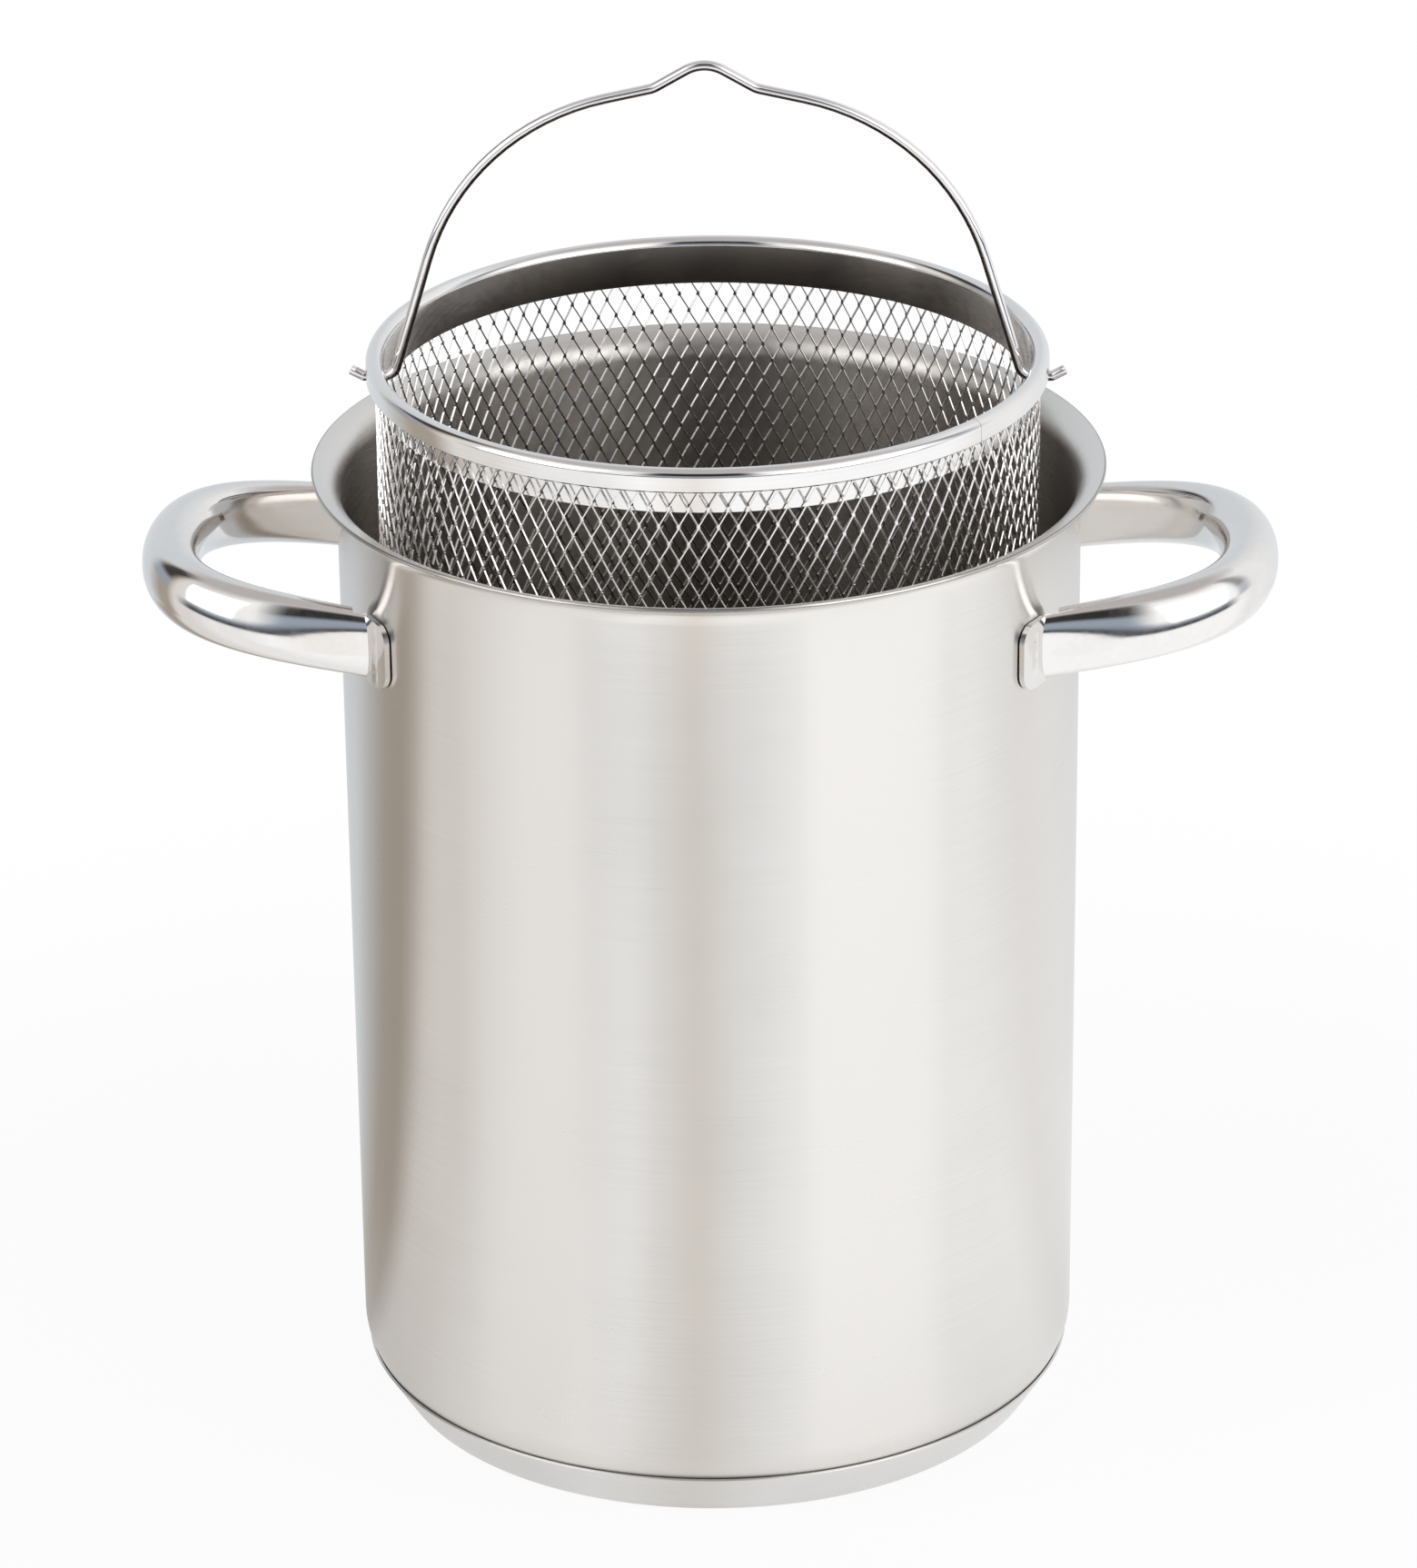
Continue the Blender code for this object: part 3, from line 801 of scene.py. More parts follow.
@dataclass
class LoopHandle:
    """One hollow loop handle, squeezed flat towards the pot, with two welded flanges."""

    shell: PotShell
    reach: float = 116.2
    root_reach: float = 70.0
    half_span: float = 36.4
    leg_lean: float = 7.6
    leg_pull: float = 24.4
    bow_pull: float = 32.1
    height: float = 189.3
    rise: float = 8.0
    bow_width: float = 12.58
    root_width: float = 5.6
    tube_height: float = 14.6
    tube_wall: float = 1.2
    bow_squareness: float = 2.05
    root_squareness: float = 2.7
    swell: float = 1.3
    roll: float = 15.0
    flange_sheet: float = 1.2
    flange_inner: float = 27.8
    flange_outer: float = 34.0
    flange_bottom: float = 181.8
    flange_top: float = 196.6
    flange_corner: float = 4.0
    mouth_plane: float = 74.8
    mouth_margin: float = 0.6
    seat_gap: float = 0.3
    weld_angle: float = 30.8
    weld_heights: tuple[float, ...] = (193.2, 188.8, 184.4)
    weld_radius: float = 3.2
    weld_sink: float = 0.22
    stations: int = 84
    sides: int = 56
    bore_start: float = 0.02
    flange_rows: int = 16
    sharp: float = 40.0

    def seat(self) -> float:
        """Radius of the face that lies on the pot's wall."""
        return self.shell.wall_radius(self.flange_bottom) + self.seat_gap

    def centre(self, share: float) -> Vector:
        """Centre of the tube.

        Args:
            share: Place along the tube, from 0 at its front end to 1 at its rear end.

        Returns:
            The centre.
        """
        half = 2 * min(share, 1 - share)
        side = -1 if share < 0.5 else 1
        root = Vector((self.root_reach, self.half_span))
        bow = Vector((self.reach, 0.0))
        lean = math.radians(self.leg_lean)
        pulls = (
            root,
            root + Vector((math.cos(lean), -math.sin(lean))) * self.leg_pull,
            bow + Vector((0.0, self.bow_pull)),
            bow,
        )
        rest = 1 - half
        weights = (rest**3, 3 * rest**2 * half, 3 * rest * half**2, half**3)
        plan = sum((pull * weight for pull, weight in zip(pulls, weights)), Vector((0.0, 0.0)))
        lift = (plan.x - self.root_reach) * math.tan(math.radians(self.rise))
        return Vector((plan.x, side * plan.y, self.height + lift))

    def section(self, share: float, inset: float) -> list[Vector]:
        """One ring of the tube, squarish at the ends and rounder at the bow.

        Args:
            share: Place along the tube.
            inset: How far the ring lies inside the tube's outer face.

        Returns:
            The ring's points, in metres.
        """
        centre = self.centre(share)
        small = 1 / (8 * self.stations)  # far less than a station, for the direction
        ahead = (self.centre(min(share + small, 1)) - self.centre(max(share - small, 0))).normalized()
        across = ahead.cross(Vector((0, 0, 1))).normalized()
        bow = math.sin(math.pi * share) ** self.swell
        width = self.root_width + (self.bow_width - self.root_width) * bow
        roll = math.radians(self.roll) * math.sin(2 * math.pi * min(share, 1 - share))
        across, upward = turned(across, across.cross(ahead), roll)
        power = 2 / (self.root_squareness + (self.bow_squareness - self.root_squareness) * bow)
        ring = []
        for index in range(self.sides):
            angle = 2 * math.pi * (index + 0.5) / self.sides
            cosine, sine = math.cos(angle), math.sin(angle)
            wide = math.copysign(abs(cosine) ** power, cosine) * (width / 2 - inset)
            tall = math.copysign(abs(sine) ** power, sine) * (self.tube_height / 2 - inset)
            ring.append((centre + across * wide + upward * tall) * MM)
        return ring

    def tube(self, name: str, inset: float, start: float = 0.0) -> bpy.types.Object:
        """The tube as a solid bar, of its outside or of its bore.

        Args:
            name: Name of the bar.
            inset: How far its face lies inside the tube's outer face.
            start: Share of the tube at which it begins, and before whose other end it stops.

        Returns:
            The bar.
        """
        shares = [start + (1 - 2 * start) * index / (self.stations - 1) for index in range(self.stations)]
        return add_piece(name, lofted(name, [self.section(share, inset) for share in shares]))

    def flange(self, side: int) -> bpy.types.Object:
        """A curved tab on the wall with rounded outer corners.

        Args:
            side: -1 at the front end of the tube, 1 at the rear end.

        Returns:
            The tab.
        """
        wide = math.radians(self.flange_outer - self.flange_inner)
        rings = []
        for index in range(self.flange_rows + 1):
            share = math.sin(math.pi / 2 * index / self.flange_rows)
            angle = side * (math.radians(self.flange_inner) + wide * share)
            inside = max(0.0, self.flange_corner - (1 - share) * wide * self.shell.wall_top)
            drop = self.flange_corner - math.sqrt(self.flange_corner**2 - inside**2)
            low, high = self.flange_bottom + drop, self.flange_top - drop
            near, far = self.seat(), self.seat() + self.flange_sheet
            points = ((near, low), (far, low), (far, high), (near, high))
            rings.append([polar(radius, angle, height) * MM for radius, height in points])
        return add_piece(f"flange{side:+d}", lofted("flange", rings))

    def weld_mark(self, side: int, height: float) -> bpy.types.Object:
        """A ball that presses one round spot-weld mark into a flange.

        Args:
            side: -1 at the front end of the tube, 1 at the rear end.
            height: Height of the mark.

        Returns:
            The ball.
        """
        bm = bmesh.new()
        bmesh.ops.create_icosphere(bm, subdivisions=3, radius=self.weld_radius * MM)
        out = self.seat() + self.flange_sheet + self.weld_radius - self.weld_sink
        place = polar(out, side * math.radians(self.weld_angle), height) * MM
        bmesh.ops.translate(bm, verts=bm.verts, vec=place)
        return add_piece(f"weld{side:+d}_{height:.0f}", finished_mesh(bm, "weld"))

    def block(self, name: str, low: Vector, high: Vector) -> bpy.types.Object:
        """A box.

        Args:
            name: Its name.
            low: Its lowest corner, in metres.
            high: Its highest corner, in metres.

        Returns:
            The box.
        """
        size = Matrix.Diagonal((*(high - low), 1.0))
        bm = bmesh.new()
        bmesh.ops.create_cube(bm, size=1.0, matrix=Matrix.Translation((low + high) / 2) @ size)
        return add_piece(name, finished_mesh(bm, name))

    def right_mesh(self) -> bpy.types.Mesh:
        """The handle at the right: tube, bore, open mouths, flanges and weld marks in one.

        Returns:
            The mesh.
        """
        below, above = self.flange_bottom - self.tube_height, self.flange_top + self.tube_height
        room = self.seat() + self.flange_sheet / 2
        loop = [Vector(p) * MM for p in ((0.0, below), (room, below), (room, above), (0.0, above))]
        mouth = self.half_span + self.mouth_margin
        low, high = Vector((0.0, -mouth, below)), Vector((self.mouth_plane, mouth, above))
        steps = [
            (self.tube("bore", self.tube_wall, self.bore_start), "DIFFERENCE"),
            (add_piece("pot_room", revolved("pot_room", loop, 240)), "DIFFERENCE"),
            (self.block("mouths", low * MM, high * MM), "DIFFERENCE"),
        ]
        for side in (-1, 1):
            steps.append((self.flange(side), "UNION"))
            steps += [(self.weld_mark(side, height), "DIFFERENCE") for height in self.weld_heights]
        return carved(self.tube("handle", 0.0), "handle_right_tube", self.sharp, steps)

    def build(self, finish: Steel) -> None:
        """Make both handles.

        Args:
            finish: The tube's steel.
        """
        material = finish.build()
        right = self.right_mesh()
        left = right.copy()
        left.name = "handle_left_tube"
        left.transform(Matrix.Rotation(math.pi, 4, "Z"))
        settle(add_piece("handle_right_tube", right), Rides.POT, "polished_handle", material, "handle_right")
        settle(add_piece("handle_left_tube", left), Rides.POT, "polished_handle", material, "handle_left")


# Basket


@dataclass
class BasketRim:
    """The hemmed strip: a band inside the mesh, rolled outwards over the mesh's top edge."""

    top: float = 243.0
    sheet: float = 0.5
    band: float = 69.4
    band_depth: float = 10.4
    hem: float = 73.0
    hem_depth: float = 4.9
    curl: float = 0.4
    hole_radius: float = 1.4
    hole_height: float = 236.6
    seam_angle: float = -37.0
    seam_width: float = 0.16
    seam_depth: float = 0.14
    sides: int = 288
    roll_step: float = 9.0
    sharp: float = 35.0

    def line(self) -> list[Vector]:
        """The middle of the strip.

        Returns:
            Points from the skirt over the roll and down the band.
        """
        half = self.sheet / 2
        inner, outer = self.band + half, self.hem - half
        skirt = self.top - self.hem_depth
        roll = (outer - inner) / 2
        centre = Vector(((inner + outer) / 2, self.top - half - roll))
        start = [Vector((outer - self.curl, skirt)), Vector((outer, skirt + self.curl))]
        end = Vector((inner, self.top - self.band_depth))
        return [*start, *arc(centre, roll, 0.0, math.pi, math.radians(self.roll_step)), end]

    def seam(self) -> bpy.types.Object:
        """A thin slice that cuts the butt seam, where the strip's two ends meet, into the strip's face.

        Returns:
            The slice.
        """
        slot = sheet_loop(self.line(), self.seam_depth - self.sheet / 2, self.sheet, 0.0)
        rings = []
        for side in (-1, 1):
            angle = math.radians(self.seam_angle) + side * self.seam_width / self.hem / 2
            rings.append([polar(point.x, angle, point.y) * MM for point in slot])
        return add_piece("seam", lofted("seam", rings))

    def build(self, finish: Steel) -> None:
        """Make the rim with its two bail holes and its seam.

        Args:
            finish: The strip's steel.
        """
        rim = add_piece("rim", spun_sheet("rim", self.line(), self.sheet / 2, self.sheet / 2, self.sides))
        bm = bmesh.new()
        hole = self.hole_radius * MM
        reach = 2.4 * self.hem * MM  # through both sides of the rim
        bmesh.ops.create_cone(bm, cap_ends=True, segments=32, radius1=hole, radius2=hole, depth=reach)
        bmesh.ops.rotate(bm, verts=bm.verts, matrix=Matrix.Rotation(math.pi / 2, 3, "Y"))
        bmesh.ops.translate(bm, verts=bm.verts, vec=(0.0, 0.0, self.hole_height * MM))
        drill = add_piece("drill", finished_mesh(bm, "drill"))
        steps = [(drill, "DIFFERENCE"), (self.seam(), "DIFFERENCE")]
        mesh = carved(rim, "basket_rim_strip", self.sharp, steps)
        strip = add_piece("basket_rim_strip", mesh)
        settle(strip, Rides.BASKET, "polished_rim", finish.build(), "basket_rim")


@dataclass(frozen=True)
class Strands:
    """One of the two crossing families of strands in expanded metal.

    Args:
        name: Which way the strands climb, for the piece's name.
        lean: 1 where the strands climb to the left, seen from outside the basket, and -1 to the right.
        width: Width of a strand along the sheet.
        depth: Its depth through the sheet.
        twist: How far the slitting tool turned its faces, in degrees.
        set_back: How far it lies behind the other family.
        dull_or_shade: 1 where painted shade darkens the whole inner side, and 0 where it darkens only the
            inner side in the bonds.
    """

    name: str
    lean: int
    width: float
    depth: float
    twist: float
    set_back: float
    dull_or_shade: float


@dataclass
class ExpandedMesh:
    """Expanded metal: a wall rolled round and a flat floor, both grown from one strand by a rule."""

    radius: float = 70.85
    foot: float = 11.3
    top: float = 241.4
    columns: int = 108
    half_rows: int = 59
    bond: float = 0.9
    families: tuple[Strands, ...] = (
        Strands("rising", 1, 0.38, 0.34, -30.0, 0.0, 0.0),
        Strands("falling", -1, 0.3, 0.28, -8.0, 0.1, 1.0),
    )
    floor_height: float = 7.9
    floor_radius: float = 66.0
    edge_radius: float = 67.0
    edge_width: float = 3.4
    edge_sheet: float = 1.0
    edge_round: float = 0.2
    # A strand is bent from a bar this high, whose ends above bond_height lie in the bonds.
    bar_height: float = 3.0
    bond_height: float = 0.8
    # Faces whose normal's X is below the first value are on the inner side. The "loop_share" of an inner face
    # that gets painted shade is the third value above the second, where the finish paints it darker.
    inward_facing: float = -0.6
    unshaded_share: float = 0.3
    shade_step: float = 0.3

    def half_pitch(self) -> Vector:
        """Half the width and half the height of one diamond."""
        return Vector((math.pi * self.radius / self.columns, (self.top - self.foot) / self.half_rows))

    def strand_rows(self) -> list[Row]:
        """Nodes for "strand": upright in its two bonds and leaning between them, with X outwards and Z up.

        Returns:
            The nodes. They bend a bar of three equal parts and mark in "loop_share" the inner faces that get
            painted shade.
        """
        sums = (
            ("side", "SIGN", "at.Z"),
            ("height", "ABSOLUTE", "at.Z"),
            ("from bond", "SUBTRACT", "height", self.bar_height / 2),
            ("back", "MULTIPLY", "from bond", "Bond"),
            ("half rise", "MULTIPLY_ADD", "Half Height", 0.5, "back"),
            ("bent z", "MULTIPLY", "side", "half rise"),
            ("half strand", "MULTIPLY", "Strand Width", 0.5),
            ("half way", "MULTIPLY", "Half Width", 0.5),
            ("shy", "SUBTRACT", "half way", "half strand"),
            ("leaning", "MULTIPLY", "shy", "Lean"),
            ("bent y", "MULTIPLY_ADD", "side", "leaning", "at.Y"),
            ("bent x", "SUBTRACT", "at.X", "Set Back"),
            # Painted shade: inner faces, in the bonds or all along, are marked for the finish to darken.
            ("inner side", "LESS_THAN", "faces.X", self.inward_facing),
            ("in bond", "GREATER_THAN", "height", self.bond_height),
            ("shade here", "MAXIMUM", "in bond", "Dull"),
            ("faces in shade", "MULTIPLY", "inner side", "shade here"),
            ("share", "MULTIPLY_ADD", "faces in shade", self.shade_step, self.unshaded_share),
        )
        marks = {"Geometry": "twisted", "Name": "loop_share", "Value": "share"}
        return [
            ("box", TOGETHER, {}, ("Strand Depth", "Strand Width", self.bar_height)),
            ("bar", "GeometryNodeMeshCube", {}, {"Size": "box", "Vertices Z": 4}),
            ("twist", TOGETHER, {}, (0.0, 0.0, "Twist")),
            ("twisted", "GeometryNodeTransform", {}, {"Geometry": "bar", "Rotation": "twist"}),
            ("place", "GeometryNodeInputPosition", {}, {}),
            ("at", APART, {}, ("place",)),
            ("normal", "GeometryNodeInputNormal", {}, {}),
            ("faces", APART, {}, ("normal",)),
            *((label, MATH, {"operation": operation}, tuple(terms)) for label, operation, *terms in sums),
            ("marked", "GeometryNodeStoreNamedAttribute", {"data_type": "FLOAT", "domain": "FACE"}, marks),
            ("bent", TOGETHER, {}, ("bent x", "bent y", "bent z")),
            ("strand", "GeometryNodeSetPosition", {}, {"Geometry": "marked", "Position": "bent"}),
        ]

    def tree(self, flat: bool) -> tuple[bpy.types.GeometryNodeTree, dict[str, str]]:
        """The rule that lays one family of strands over a rolled or a flat sheet.

        Args:
            flat: Whether the sheet is flat.

        Returns:
            The tree, and the identifiers of its inputs by name.
        """
        sizes = ("Radius", "Bottom", "Half Width", "Half Height", "Shift", "Strand Width", "Strand Depth")
        kinds = {"Columns": "Int", "Half Rows": "Int", "Material": "Material"}
        kinds.update(dict.fromkeys((*sizes, "Bond", "Lean", "Twist", "Set Back", "Dull"), "Float"))
        tree, known, names = new_group("Flat expanded metal" if flat else "Rolled expanded metal", kinds)
        sums = [
            ("count", "MULTIPLY", "Columns", "Half Rows"),
            ("rows so far", "DIVIDE", "index", "Columns"),
            ("row", "FLOOR", "rows so far"),
            ("column", "MODULO", "index", "Columns"),
            ("half pitches", "MULTIPLY", "column", 2.0),
            ("stagger", "MODULO", "row", 2.0),
            ("staggered", "ADD", "half pitches", "stagger"),
            ("shifted", "ADD", "staggered", "Shift"),
            ("along", "MULTIPLY", "shifted", "Half Width"),
            ("middle of row", "ADD", "row", 0.5),
            ("climb", "MULTIPLY", "middle of row", "Half Height"),
        ]
        trimmed: list[Row] = []
        if flat:
            sums += [("x", "SUBTRACT", "Radius", "climb"), ("y", "SUBTRACT", "along", "Radius")]
            spot, facing = ("x", "y", "Bottom"), (0.0, -math.pi / 2)
            trimmed = [
                ("level", VECTORS, TIMES, ("spot", (1.0, 1.0, 0.0))),
                ("reach", VECTORS, {"operation": "LENGTH"}, ("level",)),
                ("past", MATH, {"operation": "GREATER_THAN"}, ("reach", "Radius")),
                ("placed", "GeometryNodeDeleteGeometry", {"domain": "POINT"}, ("placed", "past")),
            ]
        else:
            sums += [
                ("angle", "DIVIDE", "along", "Radius"),
                ("cosine", "COSINE", "angle"),
                ("sine", "SINE", "angle"),
                ("x", "MULTIPLY", "cosine", "Radius"),
                ("y", "MULTIPLY", "sine", "Radius"),
                ("z", "ADD", "climb", "Bottom"),
            ]
            spot, facing = ("x", "y", "z"), (0.0, 0.0, "angle")
        copies = {"Points": "placed", "Instance": "strand", "Rotation": "turned"}
        rows = [
            *self.strand_rows(),
            ("index", "GeometryNodeInputIndex", {}, {}),
            *((label, MATH, {"operation": operation}, tuple(terms)) for label, operation, *terms in sums),
            ("points", "GeometryNodePoints", {}, {"Count": "count"}),
            ("spot", TOGETHER, {}, spot),
            ("placed", "GeometryNodeSetPosition", {}, {"Geometry": "points", "Position": "spot"}),
            *trimmed,
            ("facing", TOGETHER, {}, facing),
            ("turned", "FunctionNodeEulerToRotation", {}, ("facing",)),
            ("laid", "GeometryNodeInstanceOnPoints", {}, copies),
        ]
        add_nodes(tree, known, rows)
        finish_group(tree, known, "laid")
        return tree, names

    def strands(self, name: str, family: Strands, flat: bool, material: bpy.types.Material) -> bpy.types.Mesh:
        """Grow one family of the wall's or the floor's strands.

        Args:
            name: Name of the mesh.
            family: The strands' sizes and lean.
            flat: Whether they are the floor's.
            material: The strands' finish.

        Returns:
            The mesh.
        """
        tree, names = self.tree(flat)
        half = self.half_pitch()
        radius = self.floor_radius if flat else self.radius
        values = {
            "Columns": math.ceil(radius / half.x) + 1 if flat else self.columns,
            "Half Rows": math.ceil(2 * radius / half.y) + 1 if flat else self.half_rows,
            "Radius": radius * MM,
            "Bottom": (self.floor_height if flat else self.foot) * MM,
            "Half Width": half.x * MM,
            "Half Height": half.y * MM,
            "Shift": -family.lean / 2,
            "Strand Width": family.width * MM,
            "Strand Depth": family.depth * MM,
            "Bond": self.bond / 2 * MM,
            "Lean": -family.lean,
            "Twist": math.radians(family.twist),
            "Set Back": family.set_back * MM,
            "Dull": family.dull_or_shade,
            "Material": material,
        }
        seed = add_piece("seed", bpy.data.meshes.new("seed"))
        return grown(seed, name, tree, {names[label]: value for label, value in values.items()})

    def build(self, finish: Steel) -> None:
        """Make the wall, the floor and the floor's pressed edge.

        Args:
            finish: The strands' steel.
        """
        material = finish.build()
        for node, flat in (("basket_wall", False), ("basket_floor", True)):
            for family in self.families:
                name = f"{node}_{family.name}_strands"
                piece = add_piece(name, self.strands(name, family, flat, material))
                settle(piece, Rides.BASKET, "mesh", material, node)
        low = self.floor_height - self.edge_sheet / 2
        high, inside = low + self.edge_sheet, self.edge_radius - self.edge_width
        sides = ((self.edge_radius, low), (self.edge_radius, high), (inside, high), (inside, low))
        corners = [(radius, height, self.edge_round) for radius, height in sides]
        loop = [point * MM for point in rounded_path(corners, EDGE_STEP, closed=True)]
        edge = add_piece("basket_floor_edge", revolved("basket_floor_edge", loop))
        settle(edge, Rides.BASKET, "mesh", material)


@dataclass
class BasketFoot:
    """The hoop round the lower edge: an outer skirt that bends in to a ledge under the mesh."""

    radius: float = 72.0
    bottom: float = 6.6
    height: float = 10.4
    bend: float = 5.0
    ledge: float = 8.0
    sheet: float = 0.5

    def build(self, finish: Steel) -> None:
        """Make the foot.

        Args:
            finish: The hoop's steel.
        """
        corners = [
            (self.radius, self.bottom + self.height, 0.0),
            (self.radius, self.bottom, self.bend),
            (self.radius - self.ledge, self.bottom, 0.0),
        ]
        mesh = spun_sheet("basket_foot_hoop", rounded_path(corners), 0.0, self.sheet)
        settle(add_piece("basket_foot_hoop", mesh), Rides.BASKET, "satin_foot", finish.build(), "basket_foot")


@dataclass
class Bail:
    """The carrying wire: a U with sloping shoulders and a small peak, its ends turned out of the rim.

    Heights from foot to peak are over the axis, and angles are in degrees.
    """

    axis: float = 236.6
    wire: float = 2.2
    exit_reach: float = 73.6
    foot_reach: float = 67.2
    foot_bend: float = 3.0
    leg_lean: float = 16.5
    shoulder_height: float = 55.7
    shoulder_radius: float = 51.5
    knee_reach: float = 10.9
    knee_height: float = 64.5
    knee_radius: float = 6.0
    peak_height: float = 70.8
    peak_radius: float = 8.0
    tip_length: float = 3.1
    tip_rise: float = 28.0
    tip_bend: float = 1.6
    sides: int = 28

    def line(self) -> list[Vector]:
        """Middle of the wire.

        Returns:
            (x, height over the axis) from the right tip over the peak to the left tip.
        """
        rise = math.radians(self.tip_rise)
        tip = (self.exit_reach + self.tip_length * math.cos(rise), self.tip_length * math.sin(rise), 0.0)
        shoulder = self.foot_reach - self.shoulder_height * math.tan(math.radians(self.leg_lean))
        half = [
            tip,
            (self.exit_reach, 0.0, self.tip_bend),
            (self.foot_reach, 0.0, self.foot_bend),
            (shoulder, self.shoulder_height, self.shoulder_radius),
            (self.knee_reach, self.knee_height, self.knee_radius),
        ]
        mirrored = [(-x, height, radius) for x, height, radius in reversed(half)]
        return rounded_path([*half, (0.0, self.peak_height, self.peak_radius), *mirrored], math.radians(4))

    def wire_tree(self) -> tuple[bpy.types.GeometryNodeTree, dict[str, str]]:
        """A tree that gives a path its round wire.

        Returns:
            The tree, and each input's identifier.
        """
        kinds = {"Path": "Geometry", "Wire Radius": "Float", "Sides": "Int", "Material": "Material"}
        tree, known, names = new_group("Bent wire", kinds)
        circle = {"Resolution": "Sides", "Radius": "Wire Radius"}
        sweep = {"Curve": "Path", "Profile Curve": "ring", "Fill Caps": True}
        rows = [
            ("ring", "GeometryNodeCurvePrimitiveCircle", {}, circle),
            ("swept", "GeometryNodeCurveToMesh", {}, sweep),
        ]
        add_nodes(tree, known, rows)
        finish_group(tree, known, "swept")
        return tree, names

    def build(self, finish: Steel) -> None:
        """Make the bail.

        Args:
            finish: The wire's steel.
        """
        material = finish.build()
        path = bpy.data.curves.new("bail_path", "CURVE")
        path.dimensions = "3D"
        points = self.line()
        spline = path.splines.new("POLY")
        spline.points.add(len(points) - 1)
        for point, place in zip(spline.points, points):
            point.co = (place.x * MM, 0.0, (place.y + self.axis) * MM, 1.0)
        tree, names = self.wire_tree()
        values = {"Wire Radius": self.wire / 2 * MM, "Sides": self.sides, "Material": material}
        values = {names[label]: value for label, value in values.items()}
        mesh = grown(add_piece("wire", path), "bail_wire", tree, values)
        bm = bmesh.new()
        bm.from_mesh(mesh)
        bmesh.ops.remove_doubles(bm, verts=bm.verts, dist=MM / 1000)
        piece = add_piece("bail_wire", finished_mesh(bm, "bail_wire", 50.0))
        settle(piece, Rides.BAIL, "wire", material, "bail")


# Studio


class RoomTone(Enum):
    """Tones of the room that the steel mirrors."""

    FAR_SIDE = "cacfd4"
    GAP = "a0988e"
    SIDE = "d8d6d4"
    PLAIN = "e8e9ea"
    CAMERA_SIDE = "e8e4df"
    BRIGHT = "f7f9fb"


